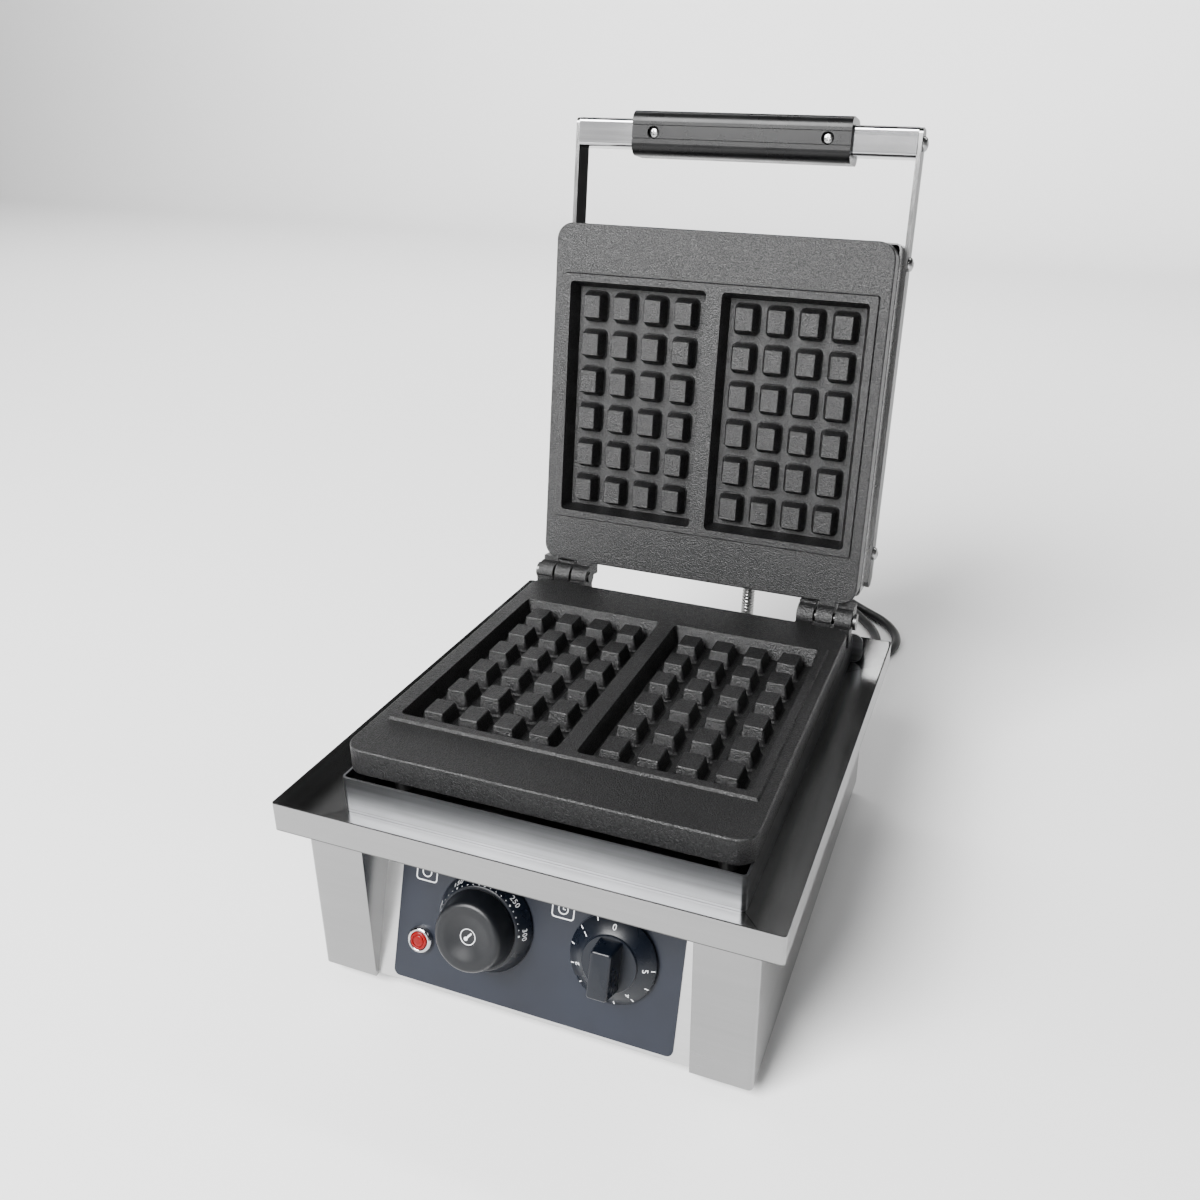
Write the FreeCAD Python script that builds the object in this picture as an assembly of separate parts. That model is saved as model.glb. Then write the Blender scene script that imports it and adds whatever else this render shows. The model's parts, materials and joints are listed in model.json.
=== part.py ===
"""Belgian waffle maker: two cast plates hinged at the rear, on a stainless base, with its lid standing open.

Millimetres, +Z up, front towards -Y. The origin is on the surface that the feet stand on, in the middle of
the box that the object fills with its lid open. Lid pieces are built closed, then turned open together.
"""
import FreeCAD
import Part
import math
import os

from FreeCAD import Placement, Rotation, Vector

# Clearances and the bend share, used by many pieces
fit_clearance = 0.05
running_clearance = 0.05
hole_clearance = 0.25
closed_gap = 0.3
stop_gap = 0.3
overrun = 1.0
bend_share = 0.45

# Baking plates, two castings alike
plate_width = 247.2
plate_depth = 253.4
plate_thickness = 18.0
plate_corner = 12.0
plate_edge_round = 1.2
hinge_to_plate = 10.6
raised_height = 1.8
raised_margin = 5.0
raised_slope = 0.9
raised_corner = 1.2
cavity_side_margin = 13.2
cavity_end_margin = 40.8
cavity_depth = 12.0
cavity_corner = 3.0
cavity_floor_corner = 1.0
cavity_draft = 3.6
centre_rib = 11.6
peg_columns = 4
peg_rows = 6
peg_gap_across = 11.1
peg_gap_along = 11.8
peg_wall_gap_across = 10.65
peg_wall_gap_along = 9.6
peg_draft = 2.5
peg_corner = 0.8
peg_drop = 1.3
peg_top_bevel = 0.5
peg_foot_flare = 1.1

# Hinges
knuckle_radius = 8.5
knuckle_width = 12.0
knuckle_gap = 2.0
knuckle_web = 14.0
pin_radius = 4.0
pin_head_radius = 6.0
pin_head_thickness = 2.0
pin_end = 1.0
toe_length = 14.0
toe_depth = 5.0
lid_open_angle = 98.9

# Tray and the walls that stand in it
plate_rise = 42.5
tray_floor_sheet = 1.2
tray_sheet = 1.0
tray_wall_height = 17.0
tray_corner = 2.0
gutter_side = 27.8
gutter_front = 27.9
hinge_to_tray_rear = 28.5
tray_ledge = 34.0
upstand_sheet = 1.2
upstand_height = 23.4
upstand_inset = 1.4
upstand_front_step = 5.1
upstand_corner = 3.0
ear_length = 8.0
ear_round = 7.0

# Base housing, bottom and feet
foot_height = 10.0
foot_radius = 14.0
foot_taper = 2.0
foot_inset = 24.0
base_height = 102.2
tray_overhang_side = 14.1
tray_overhang_front = 9.9
tray_overhang_rear = 9.5
housing_sheet = 1.2
housing_corner = 3.0
housing_flange = 14.0
pillar_width = 36.1
pillar_return = 44.0
bottom_sheet = 1.2
bottom_gap = 0.4
vent_count = 9
vent_length = 60.0
vent_width = 4.0
vent_pitch = 12.0

# Control panel
panel_tilt = 17.2
panel_sheet = 1.2
panel_setback = 2.1
panel_foot_lift = 1.0
panel_head_gap = 2.0
panel_flange = 14.0
overlay_sheet = 0.5
overlay_side_margin = 10.8
overlay_foot_margin = 3.5
overlay_head_margin = 2.0
overlay_corner = 4.0
knob_row = 52.0
thermostat_share = -0.316
timer_share = 0.491
lamp_share = -0.728
lamp_row = 30.4

# Thermostat
dial_radius = 30.0
dial_height = 10.2
dial_rim_height = 1.6
dial_rim_slope = 5.2
dial_bore = 8.0
knob_gap = 0.5
thermostat_knob_radius = 20.5
thermostat_knob_flare = 3.0
thermostat_knob_top = 25.0
thermostat_knob_round = 2.4
thermostat_dish_radius = 14.5
thermostat_dish_depth = 3.0
shaft_radius = 3.0
shaft_in_knob = 8.0
shaft_in_body = 10.0
bush_radius = 5.0
bush_stand = 1.2
thermostat_case_width = 44.0
thermostat_case_height = 36.0
thermostat_case_depth = 28.0
bulb_radius = 3.0
bulb_end_inset = 36.0
capillary_radius = 1.0
capillary_bend = 8.0
capillary_run = 10.0
capillary_fall = 48.0
capillary_tail = 22.0

# Timer
timer_knob_radius = 26.0
timer_rim_height = 1.4
timer_skirt_height = 6.4
timer_hub_radius = 16.5
timer_hub_height = 7.8
timer_bar_width = 12.8
timer_bar_length = 28.0
timer_bar_flare = 1.2
timer_bar_top = 25.0
timer_bar_round = 2.0
timer_case_width = 48.0
timer_case_height = 44.0
timer_case_depth = 34.0

# Indicator lamp
lamp_bezel_radius = 8.0
lamp_bezel_height = 3.6
lamp_bezel_round = 1.6
lamp_lens_radius = 5.4
lamp_lens_stand = 0.6
lamp_lens_round = 0.8
lamp_stem_radius = 6.2
lamp_case_radius = 7.4
lamp_case_length = 24.0

# Heater behind each plate
element_radius = 4.0
element_side_inset = 48.6
element_leg_share = 0.373
element_straight = 1.0
element_rear = 52.0
element_inner_rear = 56.0
element_front = 44.0
terminal_bend = 10.0
terminal_drop = 26.0
clamp_sheet = 1.5
clamp_side_overhang = 11.0
clamp_end_inset = 68.7
pad_thickness = 10.0
pad_border = 8.0
stud_radius = 2.5
stud_in_plate = 8.0
stud_spacing = 60.0
stud_end = 3.0
nut_radius = 4.6
nut_height = 4.0

# Posts and their screws
post_radius = 6.0
post_side_inset = 20.6
post_end_inset = 29.0
post_bore_depth = 9.0
small_shank = 2.0
small_head_radius = 3.8
dome_share = 0.6
small_head_height = 2.2

# Lid cover and handle
cover_depth = 42.0
cover_sheet = 1.0
cover_side_step = 0.4
cover_rear_step = 3.1
cover_corner = 4.0
cover_edge_round = 2.5
arm_width = 18.0
arm_thickness = 3.0
arm_behind_plate = 25.7
arm_rear = 16.0
arm_chamfer = 5.0
arm_round = 4.0
arm_screw_rear = 41.5
arm_screw_front = 13.0
arm_head_radius = 5.0
arm_head_height = 3.2
arm_shank = 2.5
arm_nut_height = 3.6
handle_reach = 66.3
tube_size = 20.0
tube_wall = 1.5
tube_round = 3.0
tube_block_length = 16.0
tube_screw_length = 12.0
grip_length = 160.0
grip_size = 31.0
grip_round = 8.0
grip_groove_width = 1.2
grip_groove_depth = 1.0
grip_groove_offset = 4.6
grip_fit = 0.15
grip_screw_x = 63.7
grip_head_radius = 4.2
grip_head_height = 2.6
grip_head_sink = 3.4

# Conduit, a ribbed steel hose from the base to the lid
conduit_radius = 5.0
conduit_root = 0.7
conduit_bore = 3.4
conduit_rib_pitch = 2.6
conduit_base_x = 12.0
conduit_base_z = 30.0
conduit_lid_x = 33.0
conduit_lid_height = 30.0
conduit_run = 30.0
conduit_first_run = 16.0
conduit_bulge = 64.0
gland_radius = 8.0
gland_length = 12.0
gland_shoulder = 2.0
gland_nut_height = 4.0
rib_shares = (0.0, 0.3, 0.5, 0.8)
conduit_shares = ((0.02, 0.62, 0.03), (0.1, 0.97, 0.2), (0.28, 1.03, 0.46), (0.6, 0.72, 0.73))

# Terminal block inside the base
terminal_width = 62.0
terminal_depth = 24.0
terminal_height = 20.0
terminal_x = 62.0
terminal_from_rear = 40.0
terminal_well_shares = (-0.3, 0, 0.3)

# Mains cord, its gland, coil, tie and plug
cord_radius = 4.5
cord_exit_x = 95.0
cord_exit_z = 34.0
cord_gland_length = 31.0
cord_gland_radius = 9.0
cord_gland_tip = 6.2
cord_gland_flange = 12.0
cord_gland_flange_sheet = 3.0
coil_radius = 60.0
coil_pitch = 9.6
coil_layer = 9.6
coil_turns = 2.75
coil_climb_turns = 0.5
coil_x = -12.0
coil_behind_hinge = 430.0
tie_width = 12.0
tie_sheet = 1.0
tie_gap = 0.4
plug_radius = 18.5
plug_length = 34.0
plug_neck_radius = 8.0
plug_neck_length = 24.0
plug_pin_radius = 2.4
plug_pin_length = 19.0
plug_pin_spacing = 19.0

# Route of the cord from its gland to its coil: x, distance behind the hinge axis, height of its middle
cord_route = (
    (95.0, 82.0, 32.0),
    (97.0, 125.0, 6.5),
    (101.0, 170.0, 4.5),
    (112.0, 222.0, 4.5),
    (133.0, 268.0, 4.5),
    (118.0, 309.0, 4.5),
    (84.0, 335.0, 4.5),
    (57.0, 358.0, 4.5),
    (49.1, 391.0, 4.5),
)

# Route of the cord from its coil to its plug, in the same way
tail_route = (
    (26.0, 365.0, 13.0),
    (56.0, 342.0, 7.5),
    (80.0, 323.0, 4.5),
    (102.0, 294.0, 4.5),
    (113.0, 262.0, 4.5),
    (103.0, 226.0, 4.5),
    (72.0, 203.0, 4.5),
    (36.0, 196.0, 9.0),
    (4.0, 195.0, 17.5),
    (-24.0, 195.0, 18.5),
)

# Levels and lines that follow from the sizes above
base_bottom_z = foot_height
base_top_z = base_bottom_z + base_height
tray_floor_z = base_top_z + tray_floor_sheet
tray_rim_z = tray_floor_z + tray_wall_height
plate_top_z = tray_floor_z + plate_rise
plate_bottom_z = plate_top_z - plate_thickness
axis_z = plate_top_z + closed_gap / 2
lid_back_z = axis_z + closed_gap / 2 + plate_thickness
cover_back_z = lid_back_z + cover_depth
arm_z = lid_back_z + arm_behind_plate
plate_half = plate_width / 2
plate_front = hinge_to_plate + plate_depth
plate_middle = hinge_to_plate + plate_depth / 2
cavity_width = (plate_width - centre_rib - 2 * cavity_side_margin) / 2
cavity_length = plate_depth - 2 * cavity_end_margin
peg_gaps_across = 2 * peg_wall_gap_across + (peg_columns - 1) * peg_gap_across
peg_gaps_along = 2 * peg_wall_gap_along + (peg_rows - 1) * peg_gap_along
peg_top_width = (cavity_width - peg_gaps_across) / peg_columns
peg_top_length = (cavity_length - peg_gaps_along) / peg_rows
post_x = plate_half - post_side_inset
element_outer_x = plate_half - element_side_inset
element_leg_x = element_outer_x * element_leg_share
element_bend = (element_outer_x - element_leg_x - element_straight) / 2
clamp_width = 2 * (element_outer_x + clamp_side_overhang)
clamp_length = plate_depth - 2 * clamp_end_inset
bulb_x = (element_leg_x + element_outer_x) / 2
bulb_length = clamp_length - bulb_end_inset
upstand_half = plate_half - upstand_inset
upstand_front = plate_front + upstand_front_step
tray_half = upstand_half + gutter_side
tray_front = upstand_front + gutter_front
base_half = tray_half - tray_overhang_side
base_front = tray_front - tray_overhang_front
base_rear = hinge_to_tray_rear - tray_overhang_rear
handle_front = plate_front + handle_reach
cover_half = plate_half + cover_side_step
cover_rear = hinge_to_plate + cover_rear_step
open_turn = math.radians(lid_open_angle)
handle_behind = handle_front * -math.cos(open_turn) + (arm_z - axis_z) * math.sin(open_turn)
hinge_y = (tray_front - handle_behind - grip_size / 2) / 2
panel_foot_y = hinge_y - base_front + panel_setback
panel_height = (base_height - panel_head_gap) / math.cos(math.radians(panel_tilt))
pillar_inner = base_half - pillar_width
thermostat_x = pillar_inner * thermostat_share
timer_x = pillar_inner * timer_share
lamp_x = pillar_inner * lamp_share
rear_y = hinge_y + base_rear

hinge_point = Vector(0, hinge_y, axis_z)
right = Vector(1, 0, 0)
back = Vector(0, 1, 0)
up = Vector(0, 0, 1)
panel_place = Placement(Vector(0, panel_foot_y, base_bottom_z), Rotation(right, 90 - panel_tilt))


# Small tools

def block(x_range, y_range, z_range):
    """A box between two limits on each axis."""
    corner = Vector(x_range[0], y_range[0], z_range[0])
    sides = [limits[1] - limits[0] for limits in (x_range, y_range, z_range)]
    return Part.makeBox(*sides, corner)


def ahead(near, far):
    """The limits in Y of what lies between two distances in front of the hinge axis."""
    return (hinge_y - far, hinge_y - near)


def rod(radius, start, end):
    """A cylinder from one point to another."""
    return Part.makeCylinder(radius, (end - start).Length, start, end - start)


def joined(shapes):
    """Several overlapping or touching shapes as one solid."""
    return shapes[0].multiFuse(shapes[1:]).removeSplitter()


def edges_along(shape, axis, wanted=None):
    """The straight edges of a shape that run along an axis, all or those whose middle is wanted."""
    found = []
    for edge in shape.Edges:
        straight = isinstance(edge.Curve, Part.Line)
        if straight and abs(edge.tangentAt(edge.FirstParameter).dot(axis)) > 0.999:
            if wanted is None or wanted(edge.CenterOfMass):
                found.append(edge)
    return found


def rounded(shape, radius, axis, wanted=None):
    """A shape with its straight edges along one axis rounded."""
    return shape.makeFillet(radius, edges_along(shape, axis, wanted))


def edges_at_height(shape, height):
    """All edges of a shape that lie in one level plane."""
    near = fit_clearance / 10
    found = []
    for edge in shape.Edges:
        lowest = edge.BoundBox.ZMin
        highest = edge.BoundBox.ZMax
        if abs(lowest - height) < near and abs(highest - height) < near:
            found.append(edge)
    return found


def rounded_rectangle(width, length, radius, middle):
    """A level outline with four round corners."""
    x = width / 2 - radius
    y = length / 2 - radius
    arcs = []
    for quarter, corner in enumerate(((x, y), (-x, y), (-x, -y), (x, -y))):
        centre = middle + Vector(corner[0], corner[1], 0)
        arcs.append(Part.makeCircle(radius, centre, up, 90 * quarter, 90 * quarter + 90))
    edges = []
    for quarter, arc in enumerate(arcs):
        following = arcs[(quarter + 1) % 4]
        edges.append(arc)
        arc_end = arc.valueAt(arc.LastParameter)
        edges.append(Part.makeLine(arc_end, following.valueAt(following.FirstParameter)))
    return Part.Wire(edges)


def turned(outline):
    """A solid of revolution about Z from points of radius and height."""
    wire = Part.makePolygon([Vector(radius, 0, height) for radius, height in outline + outline[:1]])
    return Part.Face(wire).revolve(Vector(), up, 360)


def standing(shape, foot, direction):
    """A shape built along Z, set on a point and turned to a direction."""
    return shape.transformed(Placement(foot, Rotation(up, direction)).Matrix)


def on_panel(shape):
    """A shape built in the panel's own frame (X across, Y up the slope, Z outwards), put in its place."""
    return shape.transformed(panel_place.Matrix)


def opened(shape):
    """A lid piece, built closed, turned to where the open lid holds it."""
    return shape.rotated(hinge_point, right, -lid_open_angle)


def opened_point(point):
    """A point of the closed lid, turned open."""
    return hinge_point + Rotation(right, -lid_open_angle).multVec(point - hinge_point)


def turned_over(shape):
    """A piece of the lower plate's side, as it lies on the closed lid."""
    return shape.rotated(hinge_point, back, 180)


def mirrored(shape):
    """A piece of the right side, as it is on the left."""
    return shape.mirror(Vector(), right)


def domed_screw(head_radius, head_height, shank_radius, shank_length):
    """A screw with its seat at the origin: a domed head above, a shank below."""
    head = Part.makeCylinder(head_radius, head_height)
    head = head.makeFillet(head_height * dome_share, edges_at_height(head, head_height))
    shank = Part.makeCylinder(shank_radius, shank_length, Vector(0, 0, -shank_length))
    return joined([head, shank])


def rounded_path(points, radius=None):
    """Straight runs joined by tangent arcs, of one radius or as large as each corner's shorter run allows."""
    edges = []
    radii = []
    start = points[0]
    for before, corner, after in zip(points, points[1:], points[2:]):
        arrive = (corner - before).normalize()
        leave = (after - corner).normalize()
        half_turn = arrive.getAngle(leave) / 2
        shorter = min((corner - before).Length, (after - corner).Length)
        bend = radius or bend_share * shorter / math.tan(half_turn)
        reach = bend * math.tan(half_turn)
        inward = (leave - arrive).normalize()
        centre = corner + inward * (bend / math.cos(half_turn))
        first = corner - arrive * reach
        last = corner + leave * reach
        edges.append(Part.LineSegment(start, first).toShape())
        edges.append(Part.Arc(first, centre - inward * bend, last).toShape())
        radii.append(bend)
        start = last
    edges.append(Part.LineSegment(start, points[-1]).toShape())
    return Part.Wire(edges), radii


def tube_along(path, radius, label):
    """A round bar swept along a path, whose volume is set against its section times its length."""
    first = path.OrderedEdges[0]
    start = first.valueAt(first.FirstParameter)
    section = Part.makeCircle(radius, start, first.tangentAt(first.FirstParameter))
    tube = path.makePipeShell([Part.Wire(section)], True)
    ideal = math.pi * radius ** 2 * path.Length
    print(f"{label}: {path.Length:.0f} mm long, volume {tube.Volume / ideal:.4f} of section times length")
    return tube


# Baking plates and hinges

def peg(middle):
    """One peg of the waffle grid: flared foot, drafted sides, bevelled top."""
    floor_z = plate_top_z - cavity_depth
    top_z = plate_top_z - peg_drop
    levels = (
        (floor_z, peg_draft + peg_foot_flare),
        (floor_z + peg_foot_flare, peg_draft),
        (top_z - peg_top_bevel, peg_top_bevel / 2),
        (top_z, -peg_top_bevel / 2),
    )
    outlines = []
    for level, grow in levels:
        place = Vector(middle[0], middle[1], level)
        outlines.append(
            rounded_rectangle(peg_top_width + 2 * grow, peg_top_length + 2 * grow, peg_corner + grow, place)
        )
    return Part.makeLoft(outlines, True, True)


def cavity(side):
    """The batter space of one cavity: a drafted pocket less its pegs."""
    middle_x = side * (centre_rib + cavity_width) / 2
    middle_y = hinge_y - plate_middle
    floor = rounded_rectangle(
        cavity_width - 2 * cavity_draft,
        cavity_length - 2 * cavity_draft,
        cavity_floor_corner,
        Vector(middle_x, middle_y, plate_top_z - cavity_depth),
    )
    rise = overrun / cavity_depth
    over = cavity_draft * rise
    corner_over = (cavity_corner - cavity_floor_corner) * rise
    mouth = rounded_rectangle(
        cavity_width + 2 * over,
        cavity_length + 2 * over,
        cavity_corner + corner_over,
        Vector(middle_x, middle_y, plate_top_z + overrun),
    )
    pocket = Part.makeLoft([floor, mouth], True, True)
    pitch_x = peg_top_width + peg_gap_across
    pitch_y = peg_top_length + peg_gap_along
    pegs = []
    for column in range(peg_columns):
        for row in range(peg_rows):
            x = middle_x + (column - (peg_columns - 1) / 2) * pitch_x
            y = middle_y + (row - (peg_rows - 1) / 2) * pitch_y
            pegs.append(peg((x, y)))
    return pocket.cut(pegs)


def knuckle_range(place):
    """The limits in X of a knuckle of the right hinge, counted from the outer one."""
    outer = plate_half - place * (knuckle_width + knuckle_gap)
    return (outer - knuckle_width, outer)


def knuckle(x_range):
    """A hinge lug: barrel on the axis, web to the plate and the toe that stops the open lid."""
    barrel = rod(knuckle_radius, Vector(x_range[0], hinge_y, axis_z), Vector(x_range[1], hinge_y, axis_z))
    web_top = plate_top_z - raised_height
    web = block(x_range, ahead(0, hinge_to_plate + plate_edge_round), (web_top - knuckle_web, web_top))
    toe_z = (axis_z, axis_z + toe_length)
    toe = opened(block(x_range, ahead(-toe_depth, hinge_to_plate - stop_gap), toe_z))
    return joined([barrel, web, toe])


def casting():
    """The lower baking plate; turned over, the same casting is the upper one."""
    face_z = plate_top_z - raised_height
    body = block((-plate_half, plate_half), ahead(hinge_to_plate, plate_front), (plate_bottom_z, face_z))
    body = rounded(body, plate_corner, up)
    body = body.makeFillet(plate_edge_round, edges_at_height(body, face_z))
    raised_width = centre_rib + 2 * cavity_width + 2 * raised_margin
    raised_length = cavity_length + 2 * raised_margin
    raised_outlines = []
    for level, grow in ((face_z, raised_slope), (plate_top_z, 0)):
        place = Vector(0, hinge_y - plate_middle, level)
        raised_outlines.append(
            rounded_rectangle(raised_width + 2 * grow, raised_length + 2 * grow, raised_corner + grow, place)
        )
    raised = Part.makeLoft(raised_outlines, True, True)
    left_inner, left_outer = knuckle_range(1)
    lugs = [knuckle(knuckle_range(0)), knuckle(knuckle_range(2)), knuckle((-left_outer, -left_inner))]
    plate = joined([body, raised] + lugs)
    across = right * plate_width
    pin_bore = rod(pin_radius + running_clearance, hinge_point - across, hinge_point + across)
    cuts = [cavity(-1), cavity(1), pin_bore]
    for x, y in stud_places():
        mouth = Vector(x, y, plate_bottom_z - overrun)
        cuts.append(rod(stud_radius + fit_clearance, mouth, Vector(x, y, plate_bottom_z + stud_in_plate)))
    return plate.cut(cuts)


def hinge_pin():
    """The right hinge's pin, headed at its outer end."""
    inner_x = knuckle_range(2)[0] - pin_end
    shank = rod(pin_radius, Vector(inner_x, hinge_y, axis_z), Vector(plate_half + pin_end, hinge_y, axis_z))
    head_x = plate_half + pin_end
    head = rod(
        pin_head_radius, Vector(head_x, hinge_y, axis_z), Vector(head_x + pin_head_thickness, hinge_y, axis_z)
    )
    return joined([shank, head])


# Heater behind a plate, built for the lower one

def stud_places():
    """Where the clamp's studs stand: under the rib between the cavities."""
    middle_y = hinge_y - plate_middle
    return [(0, middle_y - stud_spacing / 2), (0, middle_y + stud_spacing / 2)]


def heating_element():
    """A tubular element in four legs, its two ends turned away from the plate."""
    z = plate_bottom_z - element_radius
    rear_y_line = hinge_y - hinge_to_plate - element_rear
    inner_rear_y = hinge_y - hinge_to_plate - element_inner_rear - element_leg_x
    front_y = hinge_y - plate_front + element_front
    half = [
        Vector(element_outer_x, rear_y_line, z - terminal_drop),
        Vector(element_outer_x, rear_y_line, z),
        Vector(element_outer_x, front_y, z),
        Vector(element_leg_x, front_y, z),
        Vector(element_leg_x, inner_rear_y, z),
    ]
    other = [Vector(-point.x, point.y, point.z) for point in reversed(half)]
    points = half + other
    radii = [terminal_bend] + [element_bend] * 6 + [terminal_bend]
    edges = []
    start = points[0]
    for corner, after, before, bend in zip(points[1:], points[2:], points, radii):
        piece, _ = rounded_path([before, corner, after], bend)
        arc = piece.OrderedEdges[1]
        edges.append(Part.makeLine(start, arc.valueAt(arc.FirstParameter)))
        edges.append(arc)
        start = arc.valueAt(arc.LastParameter)
    edges.append(Part.makeLine(start, points[-1]))
    return tube_along(Part.Wire(edges), element_radius, "heating element")


def stud_holes(radius):
    """Bores for the clamp's studs through all that lies behind the plate."""
    bottom = plate_bottom_z - plate_rise
    return [rod(radius, Vector(x, y, bottom), Vector(x, y, plate_bottom_z)) for x, y in stud_places()]


def element_clamp():
    """The sheet that presses the element against the plate."""
    top = plate_bottom_z - 2 * element_radius
    middle_y = hinge_y - plate_middle
    x_range = (-clamp_width / 2, clamp_width / 2)
    y_range = (middle_y - clamp_length / 2, middle_y + clamp_length / 2)
    return block(x_range, y_range, (top - clamp_sheet, top)).cut(stud_holes(stud_radius + hole_clearance))


def insulation_pad():
    """The fibre pad under the clamp sheet."""
    top = plate_bottom_z - 2 * element_radius - clamp_sheet
    middle_y = hinge_y - plate_middle
    half_width = clamp_width / 2 - pad_border
    half_length = clamp_length / 2 - pad_border
    y_range = (middle_y - half_length, middle_y + half_length)
    pad = block((-half_width, half_width), y_range, (top - pad_thickness, top))
    return pad.cut(stud_holes(stud_radius + hole_clearance))


def clamp_studs():
    """Studs that hold clamp and pad, each with its nut."""
    pad_bottom = plate_bottom_z - 2 * element_radius - clamp_sheet - pad_thickness
    studs = []
    for x, y in stud_places():
        foot = Vector(x, y, pad_bottom - nut_height - stud_end)
        stud = rod(stud_radius, foot, Vector(x, y, plate_bottom_z + stud_in_plate))
        nut = rod(nut_radius, Vector(x, y, pad_bottom - nut_height), Vector(x, y, pad_bottom))
        studs.append(joined([stud, nut]))
    return Part.makeCompound(studs)


# Posts

def post_places():
    """The four corners where posts hold a plate."""
    near = hinge_y - hinge_to_plate - post_end_inset
    far = hinge_y - plate_front + post_end_inset
    return [(x, y) for x in (-post_x, post_x) for y in (near, far)]


def posts(bottom, top, screw_from_top):
    """Four posts between two levels, bored for the screw at one end."""
    made = []
    for x, y in post_places():
        post = rod(post_radius, Vector(x, y, bottom), Vector(x, y, top))
        mouth, inner = (top, top - post_bore_depth) if screw_from_top else (bottom, bottom + post_bore_depth)
        made.append(post.cut(rod(small_shank + fit_clearance, Vector(x, y, inner), Vector(x, y, mouth))))
    return Part.makeCompound(made)


def post_screws(seat, direction, sheet):
    """The four screws that hold a sheet to its posts."""
    screw = domed_screw(small_head_radius, small_head_height, small_shank, post_bore_depth + sheet - overrun)
    return Part.makeCompound([standing(screw, Vector(x, y, seat), direction) for x, y in post_places()])


def post_holes(bottom, top):
    """Clearance holes for the post screws."""
    radius = small_shank + hole_clearance
    return [rod(radius, Vector(x, y, bottom), Vector(x, y, top)) for x, y in post_places()]


# Tray

def drip_tray():
    """A folded pan with upright walls, open under the plate."""
    y_range = (hinge_y - tray_front, hinge_y + hinge_to_tray_rear)
    outer = rounded(block((-tray_half, tray_half), y_range, (base_top_z, tray_rim_z)), tray_corner, up)
    inner_x = tray_half - tray_sheet
    inner_y = (y_range[0] + tray_sheet, y_range[1] - tray_sheet)
    inner = block((-inner_x, inner_x), inner_y, (tray_floor_z, tray_rim_z + overrun))
    inner = rounded(inner, tray_corner - tray_sheet, up)
    open_x = upstand_half - tray_ledge
    open_y = ahead(hinge_to_plate + tray_ledge, upstand_front - tray_ledge)
    opening = block((-open_x, open_x), open_y, (base_top_z - overrun, tray_floor_z + overrun))
    return outer.cut([inner, opening] + post_holes(base_top_z - overrun, tray_floor_z + overrun))


def plate_upstand():
    """The wall round the front and sides of the lower plate."""
    z_range = (tray_floor_z, tray_floor_z + upstand_height)
    rear = hinge_y + base_rear - upstand_sheet
    outer = block((-upstand_half, upstand_half), (hinge_y - upstand_front, rear), z_range)
    outer = rounded(outer, upstand_corner, up, lambda point: point.y < hinge_y - plate_middle)
    inner_x = upstand_half - upstand_sheet
    inner_y = (hinge_y - upstand_front + upstand_sheet, rear + overrun)
    inner = block((-inner_x, inner_x), inner_y, z_range)
    inner = rounded(inner, upstand_corner - upstand_sheet, up, lambda point: point.y < hinge_y - plate_middle)
    return outer.cut(inner)


def rear_upstand():
    """The wall behind the hinges, with an ear past each side wall."""
    reach = upstand_half + ear_length
    rear = hinge_y + base_rear
    wall = block((-reach, reach), (rear - upstand_sheet, rear), (tray_floor_z, tray_floor_z + upstand_height))
    return rounded(wall, ear_round, back)


# Base

def base_housing():
    """The wrapped sheet: rear, sides, two front pillars and their returns, with flanges at top and bottom."""
    z_range = (base_bottom_z, base_top_z)
    front_y = hinge_y - base_front
    outer = rounded(block((-base_half, base_half), (front_y, rear_y), z_range), housing_corner, up)
    inner_x = base_half - housing_sheet
    inner_y = (front_y + housing_sheet, rear_y - housing_sheet)
    inner = block((-inner_x, inner_x), inner_y, (base_bottom_z - overrun, base_top_z + overrun))
    inner = rounded(inner, housing_corner - housing_sheet, up)
    gap_y = (front_y - overrun, inner_y[0] + overrun)
    gap = block((-pillar_inner, pillar_inner), gap_y, (base_bottom_z - overrun, base_top_z + overrun))
    flange_x = inner_x - housing_flange
    flange_z = base_bottom_z + bottom_sheet
    flange = block((-inner_x, inner_x), inner_y, (flange_z, flange_z + housing_sheet))
    middle_y = (front_y, inner_y[1] - housing_flange)
    middle = block((-flange_x, flange_x), middle_y, (flange_z - overrun, flange_z + housing_sheet + overrun))
    shell = joined([outer.cut(inner), flange.cut(middle)]).cut(gap)
    returns = []
    for side in (-1, 1):
        x_range = sorted((side * pillar_inner, side * (pillar_inner + housing_sheet)))
        returns.append(block(x_range, (front_y, front_y + pillar_return), z_range))
    holes = foot_holes(base_top_z)
    glands = ((conduit_base_seat(), gland_radius - gland_shoulder), (cord_seat(), cord_gland_radius))
    for seat, radius in glands:
        holes.append(rod(radius, seat - back * 2 * overrun, seat + back * overrun))
    return joined([shell] + returns).cut(holes)


def foot_places():
    """The middles of the four feet."""
    x = base_half - foot_inset
    return {
        "front_left": (-x, hinge_y - base_front + foot_inset),
        "front_right": (x, hinge_y - base_front + foot_inset),
        "rear_left": (-x, rear_y - foot_inset),
        "rear_right": (x, rear_y - foot_inset),
    }


def foot_holes(top):
    """Holes for the foot screws."""
    places = foot_places().values()
    return [rod(small_shank + hole_clearance, Vector(x, y, 0), Vector(x, y, top)) for x, y in places]


def foot(x, y):
    """A tapered rubber foot with a sunk seat for its screw."""
    body = Part.makeCone(foot_radius - foot_taper, foot_radius, foot_height, Vector(x, y, 0), up)
    seat = rod(small_head_radius + hole_clearance, Vector(x, y, 0), Vector(x, y, foot_height / 2))
    hole = rod(small_shank + hole_clearance, Vector(x, y, 0), Vector(x, y, foot_height))
    return body.cut([seat, hole])


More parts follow.
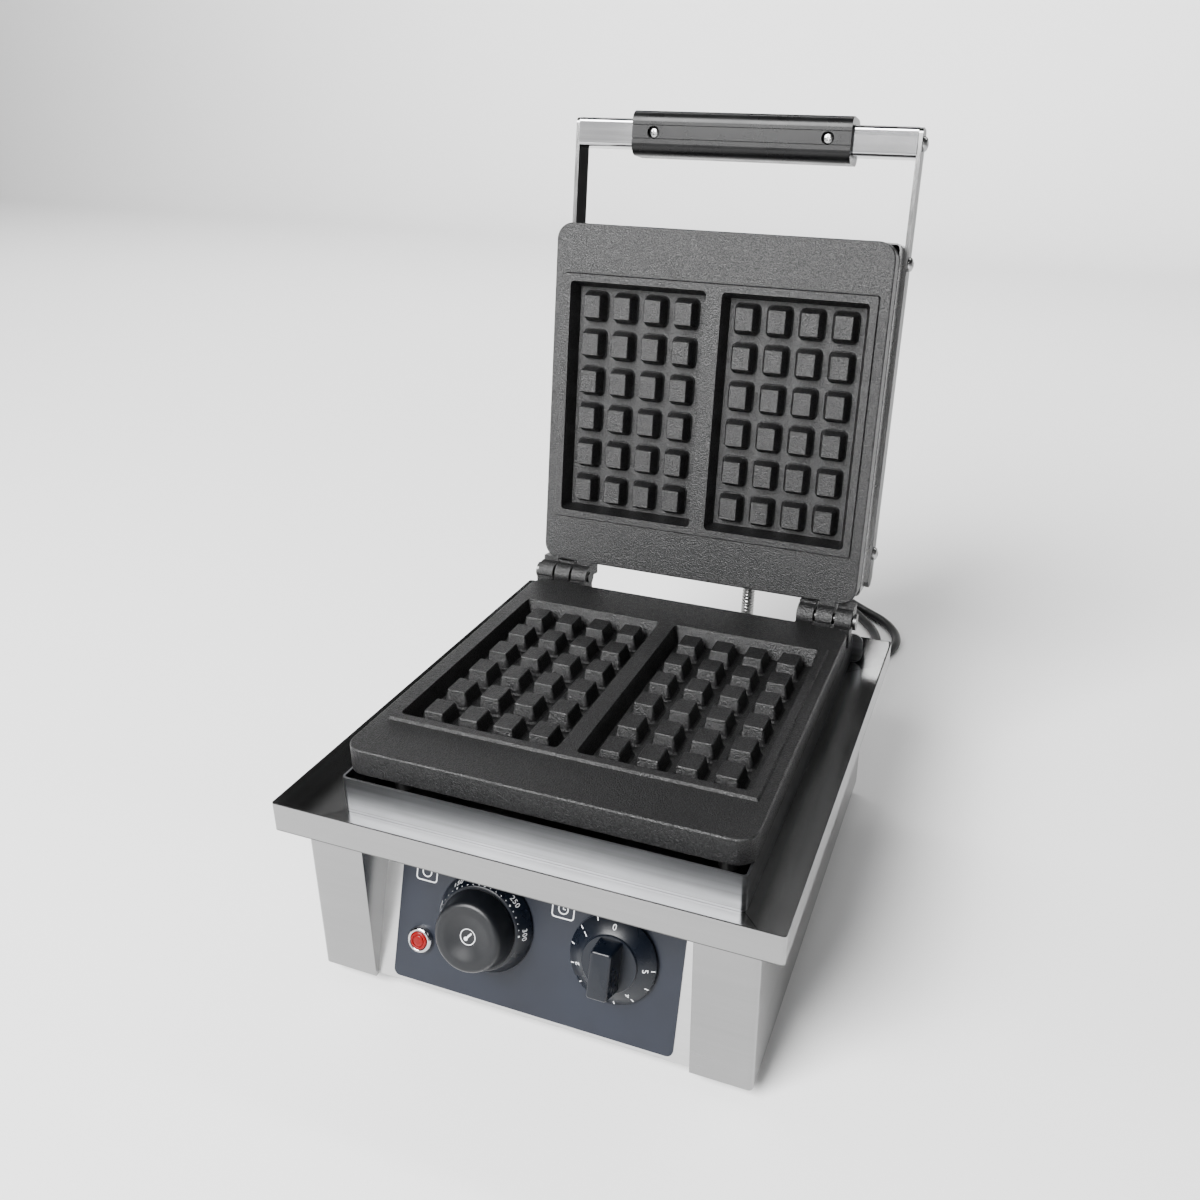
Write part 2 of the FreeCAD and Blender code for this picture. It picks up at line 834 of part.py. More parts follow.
def foot_screws():
    """Screws that hold feet, bottom cover and housing flange together, each with its nut."""
    flange_top = base_bottom_z + bottom_sheet + housing_sheet
    length = flange_top + nut_height - foot_height / 2
    made = []
    for x, y in foot_places().values():
        screw = domed_screw(small_head_radius, small_head_height, small_shank, length)
        screw = standing(screw, Vector(x, y, foot_height / 2), -up)
        nut = rod(small_head_radius, Vector(x, y, flange_top), Vector(x, y, flange_top + nut_height))
        made.append(joined([screw, nut]))
    return Part.makeCompound(made)


def bottom_cover():
    """The sheet that closes the base, with vents and slots for the pillar returns."""
    x = base_half - housing_sheet - bottom_gap
    depth = panel_sheet * 2 + bottom_gap
    y_range = (panel_foot_y + depth, rear_y - housing_sheet - bottom_gap)
    sheet = block((-x, x), y_range, (base_bottom_z, base_bottom_z + bottom_sheet))
    slots = []
    slot_z = (base_bottom_z - overrun, base_bottom_z + bottom_sheet + overrun)
    for number in range(vent_count):
        slot_x = (number - (vent_count - 1) / 2) * vent_pitch
        middle_y = (y_range[0] + y_range[1]) / 2
        slot = block(
            (slot_x - vent_width / 2, slot_x + vent_width / 2),
            (middle_y - vent_length / 2, middle_y + vent_length / 2),
            slot_z,
        )
        slots.append(slot)
    for side in (-1, 1):
        inner_limit = pillar_inner - bottom_gap
        outer_limit = pillar_inner + housing_sheet + bottom_gap
        limits = sorted((side * inner_limit, side * outer_limit))
        return_y = (hinge_y - base_front, hinge_y - base_front + pillar_return + bottom_gap)
        slots.append(block(limits, return_y, slot_z))
    return sheet.cut(slots + foot_holes(base_top_z))


def terminal_block():
    """The porcelain block where the cord and the wiring meet."""
    y = rear_y - terminal_from_rear
    floor = base_bottom_z + bottom_sheet
    x_range = (terminal_x - terminal_width / 2, terminal_x + terminal_width / 2)
    body = block(x_range, (y - terminal_depth, y), (floor, floor + terminal_height))
    wells = []
    for share in terminal_well_shares:
        x = terminal_x + share * terminal_width
        top = Vector(x, y - terminal_depth / 2, floor + terminal_height)
        wells.append(rod(small_head_radius, top - up * terminal_height / 2, top))
    return body.cut(wells)


# Control panel, in its own frame

def panel_bores(bush, lamp):
    """Bores through the panel for the two bushes and the lamp."""
    start = -panel_flange
    bores = [Part.makeCylinder(lamp, 2 * panel_flange, Vector(lamp_x, lamp_row, start))]
    for x in (thermostat_x, timer_x):
        bores.append(Part.makeCylinder(bush, 2 * panel_flange, Vector(x, knob_row, start)))
    return bores


def control_panel():
    """The tilted stainless sheet, its side flanges against the pillar returns."""
    x_range = (-pillar_inner, pillar_inner)
    sheet = block(x_range, (panel_foot_lift, panel_height), (-panel_sheet, 0))
    sheet = sheet.cut(panel_bores(bush_radius + hole_clearance, lamp_stem_radius + hole_clearance))
    flanges = []
    for side in (-1, 1):
        limits = sorted((side * pillar_inner, side * (pillar_inner - panel_sheet)))
        flanges.append(block(limits, (panel_flange, panel_height), (-panel_flange, 0)))
    return on_panel(joined([sheet] + flanges))


def panel_overlay():
    """The printed sheet on the panel."""
    x = pillar_inner - overlay_side_margin
    y_range = (overlay_foot_margin, panel_height - overlay_head_margin)
    sheet = rounded(block((-x, x), y_range, (0, overlay_sheet)), overlay_corner, up)
    return on_panel(sheet.cut(panel_bores(bush_radius + hole_clearance, lamp_stem_radius + hole_clearance)))


def control_body(x, width, height, depth):
    """A control behind the panel: case, and a bush through the panel that guides the shaft."""
    y_range = (knob_row - height / 2, knob_row + height / 2)
    case = block((x - width / 2, x + width / 2), y_range, (-panel_sheet - depth, -panel_sheet))
    bush_length = panel_sheet + overlay_sheet + bush_stand
    bush = Part.makeCylinder(bush_radius, bush_length, Vector(x, knob_row, -panel_sheet))
    bore_floor = Vector(x, knob_row, -panel_sheet - shaft_in_body - running_clearance)
    bore = Part.makeCylinder(shaft_radius + running_clearance, depth, bore_floor)
    return on_panel(joined([case, bush]).cut(bore))


def control_shaft(x, knob_floor):
    """The shaft that a knob turns in its bush."""
    start = -panel_sheet - shaft_in_body
    length = knob_floor + shaft_in_knob - start
    return on_panel(Part.makeCylinder(shaft_radius, length, Vector(x, knob_row, start)))


def thermostat_dial():
    """The fixed scale disc under the thermostat's knob."""
    outline = [
        (dial_bore, 0),
        (dial_radius, 0),
        (dial_radius, dial_rim_height),
        (dial_radius - dial_rim_slope, dial_height),
        (dial_bore, dial_height),
    ]
    return on_panel(turned(outline).translated(Vector(thermostat_x, knob_row, overlay_sheet)))


def thermostat_knob():
    """A round knob with a dished face, on its shaft."""
    floor = overlay_sheet + dial_height + knob_gap
    wide_radius = thermostat_knob_radius + thermostat_knob_flare
    knob_height = thermostat_knob_top - floor
    body = Part.makeCone(wide_radius, thermostat_knob_radius, knob_height, Vector(0, 0, floor))
    body = body.makeFillet(thermostat_knob_round, edges_at_height(body, thermostat_knob_top))
    ball_radius = (thermostat_dish_radius ** 2 + thermostat_dish_depth ** 2) / (2 * thermostat_dish_depth)
    dish_floor = thermostat_knob_top - thermostat_dish_depth
    ball = Part.makeSphere(ball_radius, Vector(0, 0, dish_floor + ball_radius))
    bore = Part.makeCylinder(shaft_radius + fit_clearance, shaft_in_knob + fit_clearance, Vector(0, 0, floor))
    return on_panel(body.cut([ball, bore]).translated(Vector(thermostat_x, knob_row, 0)))


def timer_knob():
    """A skirted knob with a bar grip, on its shaft."""
    floor = overlay_sheet + bush_stand + knob_gap
    outline = [
        (0, floor),
        (timer_knob_radius, floor),
        (timer_knob_radius, floor + timer_rim_height),
        (timer_hub_radius, floor + timer_skirt_height),
        (timer_hub_radius, floor + timer_hub_height),
        (0, floor + timer_hub_height),
    ]
    flared = 2 * timer_bar_flare
    foot_line = rounded_rectangle(
        timer_bar_width + flared,
        timer_bar_length + flared,
        timer_bar_round,
        Vector(0, 0, floor + timer_rim_height),
    )
    top = Vector(0, 0, timer_bar_top)
    top_line = rounded_rectangle(timer_bar_width, timer_bar_length, timer_bar_round, top)
    bar = Part.makeLoft([foot_line, top_line], True, True)
    bar = bar.makeFillet(timer_bar_round / 2, edges_at_height(bar, timer_bar_top))
    bore = Part.makeCylinder(shaft_radius + fit_clearance, shaft_in_knob + fit_clearance, Vector(0, 0, floor))
    return on_panel(joined([turned(outline), bar]).cut(bore).translated(Vector(timer_x, knob_row, 0)))


def thermostat_bulb():
    """The sensing bulb under the lower plate and its capillary down to the thermostat."""
    z = plate_bottom_z - bulb_radius
    end_y = hinge_y - plate_middle - clamp_length / 2 - overrun
    bulb = rod(bulb_radius, Vector(bulb_x, end_y + bulb_length, z), Vector(bulb_x, end_y, z))
    case_back = Vector(thermostat_x, knob_row, -panel_sheet - thermostat_case_depth)
    joint = panel_place.multVec(case_back)
    tail = panel_place.multVec(case_back - up * capillary_tail)
    drop = Vector(bulb_x, end_y - capillary_run, z)
    fall = drop - up * capillary_fall
    turn_off = Vector((bulb_x + thermostat_x) / 2, fall.y, tail.z + capillary_run)
    points = [Vector(bulb_x, end_y, z), drop, fall, turn_off, tail, joint]
    path, _ = rounded_path(points, capillary_bend)
    return joined([bulb, tube_along(path, capillary_radius, "capillary")])


def lamp_bezel():
    """The bright ring of the indicator lamp."""
    ring = Part.makeCylinder(lamp_bezel_radius, lamp_bezel_height, Vector(0, 0, overlay_sheet))
    ring = ring.makeFillet(lamp_bezel_round, edges_at_height(ring, overlay_sheet + lamp_bezel_height))
    bore = Part.makeCylinder(lamp_lens_radius + fit_clearance, lamp_bezel_height, Vector(0, 0, overlay_sheet))
    return on_panel(ring.cut(bore).translated(Vector(lamp_x, lamp_row, 0)))


def lamp_lens():
    """The red lens in the ring."""
    height = lamp_bezel_height + lamp_lens_stand
    lens = Part.makeCylinder(lamp_lens_radius, height, Vector(0, 0, overlay_sheet))
    lens = lens.makeFillet(lamp_lens_round, edges_at_height(lens, overlay_sheet + height))
    return on_panel(lens.translated(Vector(lamp_x, lamp_row, 0)))


def lamp_body():
    """The lamp's stem through the panel and its case behind."""
    stem = Part.makeCylinder(lamp_stem_radius, panel_sheet + overlay_sheet, Vector(0, 0, -panel_sheet))
    case_back = Vector(0, 0, -panel_sheet - lamp_case_length)
    case = Part.makeCylinder(lamp_case_radius, lamp_case_length, case_back)
    return on_panel(joined([stem, case]).translated(Vector(lamp_x, lamp_row, 0)))


# Lid, built closed

def arm_screw_places():
    """Distances in front of the hinge axis of the screws in an arm."""
    return (arm_screw_rear, plate_front - arm_screw_front)


def lid_cover():
    """The stainless pan over the upper plate's heater."""
    y_range = ahead(cover_rear, plate_front)
    outer = rounded(block((-cover_half, cover_half), y_range, (lid_back_z, cover_back_z)), cover_corner, up)
    outer = outer.makeFillet(cover_edge_round, edges_at_height(outer, cover_back_z))
    inner_x = cover_half - cover_sheet
    inner_y = (y_range[0] + cover_sheet, y_range[1] - cover_sheet)
    inner = block((-inner_x, inner_x), inner_y, (lid_back_z - overrun, cover_back_z - cover_sheet))
    inner = rounded(inner, cover_corner - cover_sheet, up)
    holes = post_holes(cover_back_z - 2 * overrun, cover_back_z + overrun)
    for reach in arm_screw_places():
        start = Vector(-plate_width, hinge_y - reach, arm_z)
        holes.append(rod(arm_shank + hole_clearance, start, start + right * 2 * plate_width))
    seat = lid_gland_seat()
    holes.append(rod(gland_radius - gland_shoulder, seat - back * 2 * overrun, seat + back * overrun))
    return outer.cut([inner] + holes)


def handle_arm():
    """The right flat-bar arm, along the cover and on to the handle tube."""
    far = handle_front + tube_size / 2
    z_range = (arm_z - arm_width / 2, arm_z + arm_width / 2)
    bar = block((cover_half, cover_half + arm_thickness), ahead(arm_rear, far), z_range)
    bar = rounded(bar, arm_round, right, lambda point: point.y < hinge_y - plate_front)
    rear_edges = edges_along(bar, right, lambda point: point.y > hinge_y - plate_middle)
    bar = bar.makeChamfer(arm_chamfer, rear_edges)
    holes = []
    for reach in arm_screw_places() + (handle_front,):
        start = Vector(cover_half - overrun, hinge_y - reach, arm_z)
        holes.append(rod(arm_shank + hole_clearance, start, start + right * (arm_thickness + 2 * overrun)))
    return bar.cut(holes)


def arm_screws():
    """Domed screws through both arms into nuts behind the cover's walls."""
    outside = cover_half + arm_thickness
    made = []
    for reach in arm_screw_places():
        length = arm_thickness + cover_sheet + arm_nut_height
        screw = domed_screw(arm_head_radius, arm_head_height, arm_shank, length)
        screw = standing(screw, Vector(outside, hinge_y - reach, arm_z), right)
        inside = Vector(cover_half - cover_sheet, hinge_y - reach, arm_z)
        both = joined([screw, rod(nut_radius, inside - right * arm_nut_height, inside)])
        made += [both, mirrored(both)]
    return Part.makeCompound(made)


def handle_tube():
    """The square handle tube between the arms."""
    half = tube_size / 2
    y_range = ahead(handle_front - half, handle_front + half)
    outer = block((-cover_half, cover_half), y_range, (arm_z - half, arm_z + half))
    outer = rounded(outer, tube_round, right)
    inner_half = half - tube_wall
    inner_y = ahead(handle_front - inner_half, handle_front + inner_half)
    inner_x = cover_half + overrun
    inner = block((-inner_x, inner_x), inner_y, (arm_z - inner_half, arm_z + inner_half))
    inner = rounded(inner, tube_round - tube_wall, right)
    screw_holes = []
    for side in (-1, 1):
        start = Vector(side * grip_screw_x, hinge_y - handle_front, arm_z - tube_size)
        screw_holes.append(rod(small_shank + fit_clearance, start, start + up * tube_size))
    return outer.cut([inner] + screw_holes)


def tube_blocks():
    """Threaded blocks in the ends of the handle tube."""
    half = tube_size / 2 - tube_wall - fit_clearance
    y_range = ahead(handle_front - half, handle_front + half)
    plug = block((cover_half - tube_block_length, cover_half), y_range, (arm_z - half, arm_z + half))
    plug = rounded(plug, tube_round - tube_wall, right)
    end = Vector(cover_half, hinge_y - handle_front, arm_z)
    plug = plug.cut(rod(arm_shank + fit_clearance, end - right * tube_screw_length, end))
    return Part.makeCompound([plug, mirrored(plug)])


def tube_screws():
    """Domed screws through the arms into the tube's blocks."""
    length = arm_thickness + tube_screw_length - overrun
    screw = domed_screw(arm_head_radius, arm_head_height, arm_shank, length)
    screw = standing(screw, Vector(cover_half + arm_thickness, hinge_y - handle_front, arm_z), right)
    return Part.makeCompound([screw, mirrored(screw)])


def handle_grip():
    """The moulded sleeve on the handle tube, with fine grooves along its two broad faces."""
    half = grip_size / 2
    x_range = (-grip_length / 2, grip_length / 2)
    sleeve = block(x_range, ahead(handle_front - half, handle_front + half), (arm_z - half, arm_z + half))
    sleeve = rounded(sleeve, grip_round, right)
    bore_half = tube_size / 2 + grip_fit
    bore_y = ahead(handle_front - bore_half, handle_front + bore_half)
    long_x = (x_range[0] - overrun, x_range[1] + overrun)
    bore = rounded(block(long_x, bore_y, (arm_z - bore_half, arm_z + bore_half)), tube_round, right)
    cuts = [bore]
    for side in (-1, 1):
        depth = sorted((arm_z + side * (half - grip_groove_depth), arm_z + side * (half + overrun)))
        for offset in (-grip_groove_offset, grip_groove_offset):
            near = handle_front + offset - grip_groove_width / 2
            cuts.append(block(long_x, ahead(near, near + grip_groove_width), depth))
        start = Vector(side * grip_screw_x, hinge_y - handle_front, arm_z - half - overrun)
        cuts.append(rod(small_shank + hole_clearance, start, start + up * half))
        cuts.append(rod(grip_head_radius + hole_clearance, start, start + up * (overrun + grip_head_sink)))
    return sleeve.cut(cuts)


def grip_screws():
    """Sunk screws that hold the sleeve to the tube."""
    seat_z = arm_z - grip_size / 2 + grip_head_sink
    length = grip_size / 2 - grip_head_sink - tube_size / 2 + tube_wall
    screw = domed_screw(grip_head_radius, grip_head_height, small_shank, length)
    places = [Vector(side * grip_screw_x, hinge_y - handle_front, seat_z) for side in (-1, 1)]
    return Part.makeCompound([standing(screw, place, -up) for place in places])


# Conduit

def conduit_base_seat():
    """Where the conduit's lower gland sits on the rear wall."""
    return Vector(conduit_base_x, rear_y, conduit_base_z)


def lid_gland_seat():
    """Where the conduit's upper gland sits on the closed lid's cover."""
    return Vector(conduit_lid_x, hinge_y - cover_rear, lid_back_z + conduit_lid_height)


def conduit_gland(seat, wall):
    """A bored screw gland that points back out of a wall, with its nut inside."""
    stem_radius = gland_radius - gland_shoulder - fit_clearance
    outside = rod(gland_radius, seat, seat + back * gland_length)
    stem = rod(stem_radius, seat - back * (wall + gland_nut_height), seat)
    nut = rod(gland_radius, seat - back * (wall + gland_nut_height), seat - back * wall)
    bore = rod(conduit_bore, seat - back * gland_length, seat + back * gland_length)
    return joined([outside, stem, nut]).cut(bore)


def conduit_path():
    """From the base's gland back, up and forward to the open lid's gland."""
    start = conduit_base_seat() + back * gland_length
    seat = lid_gland_seat()
    end = opened_point(seat + back * gland_length)
    before_end = opened_point(seat + back * (gland_length + conduit_run))
    x_step = before_end.x - start.x
    rise = before_end.z - start.z
    points = [start, start + back * conduit_first_run]
    for across, behind, high in conduit_shares:
        points.append(start + Vector(across * x_step, behind * conduit_bulge, high * rise))
    path, radii = rounded_path(points + [before_end, end])
    print(f"conduit: {path.Length:.0f} mm long, radii", [round(radius) for radius in radii])
    return path


def steady_circle(radius, place, direction):
    """A circle across a direction whose start keeps to one side."""
    side = back.cross(direction) if abs(direction.dot(right)) > 0.9 else right
    turn = Rotation(side, direction.cross(side), direction, "ZXY")
    return Part.Wire(Part.makeCircle(radius).transformed(Placement(place, turn).Matrix))


def point_on(path, distance):
    """The point and direction at a distance along a path."""
    for edge in path.OrderedEdges:
        if distance <= edge.Length or edge.isSame(path.OrderedEdges[-1]):
            parameter = edge.getParameterByLength(min(distance, edge.Length))
            return edge.valueAt(parameter), edge.tangentAt(parameter)
        distance -= edge.Length


def conduit():
    """The ribbed hose with its bore, its ends plain for one diameter."""
    path = conduit_path()
    ribbed = path.Length - 4 * conduit_radius
    ribs = int(ribbed / conduit_rib_pitch)
    pitch = ribbed / ribs
    rings = [(0, conduit_radius)]
    for rib in range(ribs):
        for share, radius in zip(rib_shares, (conduit_radius - conduit_root,) * 2 + (conduit_radius,) * 2):
            rings.append((2 * conduit_radius + (rib + share) * pitch, radius))
    rings.append((path.Length, conduit_radius))
    outside = [steady_circle(radius, *point_on(path, distance)) for distance, radius in rings]
    bore_rings = rings[:: len(rib_shares)] + rings[-1:]
    inside = [steady_circle(conduit_bore, *point_on(path, distance)) for distance, _ in bore_rings]
    return Part.makeLoft(outside, True, True).cut(Part.makeLoft(inside, True, True))


# Mains cord

def cord_seat():
    """Where the cord's gland sits on the rear wall."""
    return Vector(cord_exit_x, rear_y, cord_exit_z)


def cord_gland():
    """The tapered strain relief that the cord comes out of."""
    seat = cord_seat()
    stem = rod(cord_gland_radius - fit_clearance, seat - back * 2 * housing_sheet, seat)
    flange = rod(cord_gland_flange, seat, seat + back * cord_gland_flange_sheet)
    sleeve_foot = seat + back * cord_gland_flange_sheet
    sleeve_length = cord_gland_length - cord_gland_flange_sheet
    sleeve = Part.makeCone(cord_gland_radius, cord_gland_tip, sleeve_length, sleeve_foot, back)
    return joined([stem, flange, sleeve])


def coil_point(turns):
    """The middle of the coil's cord after some turns: in on the lower layer, out again on the upper."""
    angle = 2 * math.pi * turns
    radius = coil_radius - coil_pitch * min(turns, coil_turns - turns)
    climb = min(max((turns - coil_turns / 2) / coil_climb_turns + 0.5, 0), 1)
    height = cord_radius + coil_layer * climb ** 2 * (3 - 2 * climb)
    centre = Vector(coil_x, hinge_y + coil_behind_hinge, height)
    return centre + Vector(radius * math.cos(angle), radius * math.sin(angle), 0)


def coil_direction(turns):
    """The way that the coil's cord runs after some turns."""
    step = 1e-4
    ahead_of = min(turns + step, coil_turns)
    behind = max(turns - step, 0)
    return (coil_point(ahead_of) - coil_point(behind)).normalize()


def biarc(start, start_way, end, end_way):
    """Two tangent arcs between two points with given directions."""
    chord = end - start
    ways = start_way + end_way
    spread = 2 * (1 - start_way.dot(end_way))
    along = chord.dot(ways)
    reach = (-along + math.sqrt(along ** 2 + spread * chord.dot(chord))) / spread
    middle = (start + start_way * reach + end - end_way * reach) / 2
    edges = []
    for first, way, last in ((start, start_way, middle), (end, -end_way, middle)):
        side = last - first
        outward = way - side * (way.dot(side) / side.dot(side))
        half_turn = way.getAngle(side)
        sagitta = side.Length / 2 * math.tan(half_turn / 2)
        edges.append(Part.Arc(first, first + side / 2 + outward.normalize() * sagitta, last).toShape())
    return edges


def coil_path():
    """The coil's turns as tangent arcs, with a straight end of one cord diameter at each side."""
    quarters = round(4 * coil_turns)
    stops = [coil_turns * quarter / quarters for quarter in range(quarters + 1)]
    start = coil_point(0)
    end = coil_point(coil_turns)
    edges = [Part.makeLine(start - coil_direction(0) * 2 * cord_radius, start)]
    for before, after in zip(stops, stops[1:]):
        edges += biarc(coil_point(before), coil_direction(before), coil_point(after), coil_direction(after))
    edges.append(Part.makeLine(end, end + coil_direction(coil_turns) * 2 * cord_radius))
    return Part.Wire(Part.sortEdges(edges)[0])


def coil_gap(path):
    """The least gap between the turns of the coil, measured on points along it."""
    spots = [point_on(path, distance)[0] for distance in range(0, int(path.Length), 4)]
    skip = int(coil_radius * math.pi / 4)
    least = min(
        (spot - other).Length for number, spot in enumerate(spots) for other in spots[number + skip:]
    )
    return least - 2 * cord_radius


def cord_start():
    """Where the cord leaves its gland."""
    return cord_seat() + back * cord_gland_length


def cord_points():
    """The cord's route from its gland to its coil."""
    points = [cord_start()]
    points += [Vector(x, hinge_y + behind, height) for x, behind, height in cord_route]
    points.append(coil_point(0) - coil_direction(0) * 2 * cord_radius)
    return points


def tail_points():
    """The cord's way from its coil to its plug."""
    points = [coil_point(coil_turns) + coil_direction(coil_turns) * 2 * cord_radius]
    points += [Vector(x, hinge_y + behind, height) for x, behind, height in tail_route]
    return points


def plug_place():
    """Where the plug's neck begins, and the way that the plug points."""
    before, last = tail_points()[-2:]
    return last, Vector(last.x - before.x, last.y - before.y, 0).normalize()


def plug_body():
    """A round moulded plug with a tapered neck."""
    foot, way = plug_place()
    neck = Part.makeCone(cord_radius + tie_sheet, plug_neck_radius, plug_neck_length, foot, way)
    body = Part.makeCylinder(plug_radius, plug_length, foot + way * plug_neck_length, way)
    return joined([neck, body])


def plug_pins():
    """The plug's two round pins."""
    foot, way = plug_place()
    face = foot + way * (plug_neck_length + plug_length)
    across = up.cross(way)
    places = [face + across * (side * plug_pin_spacing / 2) for side in (-1, 1)]
    return Part.makeCompound([rod(plug_pin_radius, place, place + way * plug_pin_length) for place in places])


def cord_tie():
    """A strap over the coil's bundle, at its side away from the lead."""
    turns = coil_turns / 2
    inner = coil_radius - coil_pitch * coil_turns / 2 - cord_radius - tie_gap
    outer = coil_radius + cord_radius + tie_gap
    top = 2 * cord_radius + coil_layer + tie_gap
    centre = Vector(coil_x, hinge_y + coil_behind_hinge, 0)
    spoke = coil_point(turns) - centre
    angle = math.degrees(math.atan2(spoke.y, spoke.x))
    bar = block((inner - tie_sheet, outer + tie_sheet), (-tie_width / 2, tie_width / 2), (0, top + tie_sheet))
    bar = rounded(bar, tie_sheet, back)
    hole = block((inner, outer), (-tie_width, tie_width), (-overrun, top))
    return bar.cut(hole).rotated(Vector(), up, angle).translated(centre)


# All the pieces, by name

def build():
    """Every piece of the waffle maker at rest, with the lid open."""
    lower_plate = casting()
    element = heating_element()
    clamp = element_clamp()
    pad = insulation_pad()
    studs = clamp_studs()
    pin = hinge_pin()
    arm = handle_arm()
    knob_floor = overlay_sheet + dial_height + knob_gap
    timer_floor = overlay_sheet + bush_stand + knob_gap
    cord_path, radii = rounded_path(cord_points())
    print("cord radii", [round(radius) for radius in radii])
    tail_path, tail_radii = rounded_path(tail_points())
    print("tail radii", [round(radius) for radius in tail_radii])
    turns = coil_path()
    print(f"coil: least gap {coil_gap(turns):.2f} mm")
    parts = {
        "base_housing": base_housing(),
        "bottom_cover": bottom_cover(),
        "control_panel": control_panel(),
        "panel_overlay": panel_overlay(),
        "drip_tray": drip_tray(),
        "plate_upstand": plate_upstand(),
        "rear_upstand": rear_upstand(),
        "lower_plate": lower_plate,
        "lower_heating_element": element,
        "lower_element_clamp": clamp,
        "lower_insulation_pad": pad,
        "lower_clamp_studs": studs,
        "plate_posts": posts(tray_floor_z, plate_bottom_z, False),
        "plate_post_screws": post_screws(base_top_z, -up, tray_floor_sheet),
        "foot_screws": foot_screws(),
        "terminal_block": terminal_block(),
        "hinge_pin_right": pin,
        "hinge_pin_left": mirrored(pin),
        "thermostat_body": control_body(
            thermostat_x, thermostat_case_width, thermostat_case_height, thermostat_case_depth
        ),
        "thermostat_bulb": thermostat_bulb(),
        "thermostat_dial": thermostat_dial(),
        "thermostat_knob": thermostat_knob(),
        "thermostat_shaft": control_shaft(thermostat_x, knob_floor),
        "timer_body": control_body(timer_x, timer_case_width, timer_case_height, timer_case_depth),
        "timer_knob": timer_knob(),
        "timer_shaft": control_shaft(timer_x, timer_floor),
        "lamp_bezel": lamp_bezel(),
        "lamp_lens": lamp_lens(),
        "lamp_body": lamp_body(),
        "upper_plate": opened(turned_over(lower_plate)),
        "upper_heating_element": opened(turned_over(element)),
        "upper_element_clamp": opened(turned_over(clamp)),
        "upper_insulation_pad": opened(turned_over(pad)),
        "upper_clamp_studs": opened(turned_over(studs)),
        "lid_cover": opened(lid_cover()),
        "lid_posts": opened(posts(lid_back_z, cover_back_z - cover_sheet, True)),
        "lid_cover_screws": opened(post_screws(cover_back_z, up, cover_sheet)),
        "handle_arm_right": opened(arm),
        "handle_arm_left": opened(mirrored(arm)),
        "handle_arm_screws": opened(arm_screws()),
        "handle_tube": opened(handle_tube()),
        "handle_tube_blocks": opened(tube_blocks()),
        "handle_tube_screws": opened(tube_screws()),
        "handle_grip": opened(handle_grip()),
        "handle_grip_screws": opened(grip_screws()),
        "conduit_lid_gland": opened(conduit_gland(lid_gland_seat(), cover_sheet)),
        "conduit_base_gland": conduit_gland(conduit_base_seat(), housing_sheet),
        "conduit": conduit(),
        "cord_gland": cord_gland(),
        "mains_cord": tube_along(cord_path, cord_radius, "mains cord"),
        "cord_coil": tube_along(turns, cord_radius, "cord coil"),
        "cord_tail": tube_along(tail_path, cord_radius, "cord tail"),
        "cord_tie": cord_tie(),
        "plug_body": plug_body(),
        "plug_pins": plug_pins(),
    }
    for name, (x, y) in foot_places().items():
        parts["foot_" + name] = foot(x, y)
    return parts


os.makedirs("parts", exist_ok=True)
for node, shape in build().items():
    shape.exportStep(f"parts/{node}.step")
    print(node, len(shape.Solids), "solids", "valid" if shape.isValid() else "NOT VALID", round(shape.Volume))
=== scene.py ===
"""Belgian waffle maker with its lid open: looks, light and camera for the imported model."""
import json
import math

import bmesh
import bpy
from mathutils import Matrix, Vector


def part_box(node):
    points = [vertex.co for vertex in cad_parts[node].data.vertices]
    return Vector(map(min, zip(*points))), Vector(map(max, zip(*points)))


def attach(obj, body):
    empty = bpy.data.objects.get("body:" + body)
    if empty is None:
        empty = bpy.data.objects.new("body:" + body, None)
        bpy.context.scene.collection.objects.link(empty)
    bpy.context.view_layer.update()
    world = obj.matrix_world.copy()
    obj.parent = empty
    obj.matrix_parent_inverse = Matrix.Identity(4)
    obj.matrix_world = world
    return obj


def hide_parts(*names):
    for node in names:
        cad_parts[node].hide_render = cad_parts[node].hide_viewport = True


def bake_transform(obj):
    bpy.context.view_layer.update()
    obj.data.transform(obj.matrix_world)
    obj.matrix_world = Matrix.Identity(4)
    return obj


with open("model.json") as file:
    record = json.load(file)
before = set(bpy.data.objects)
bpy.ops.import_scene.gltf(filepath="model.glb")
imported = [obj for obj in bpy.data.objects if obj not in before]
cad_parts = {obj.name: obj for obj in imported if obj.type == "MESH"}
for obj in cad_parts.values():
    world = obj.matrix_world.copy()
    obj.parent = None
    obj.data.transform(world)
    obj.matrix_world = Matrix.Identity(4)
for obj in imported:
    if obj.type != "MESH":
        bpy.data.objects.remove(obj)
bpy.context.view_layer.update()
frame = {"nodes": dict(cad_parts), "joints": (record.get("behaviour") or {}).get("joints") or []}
nodes = frame["nodes"]
joints = {joint["name"]: joint for joint in frame["joints"]}
hinge = Vector(joints["lid_hinge"]["pos_m"])
open_turn = math.radians(joints["lid_hinge"]["range_deg"][1])
MM = 0.001


# Procedural finishes

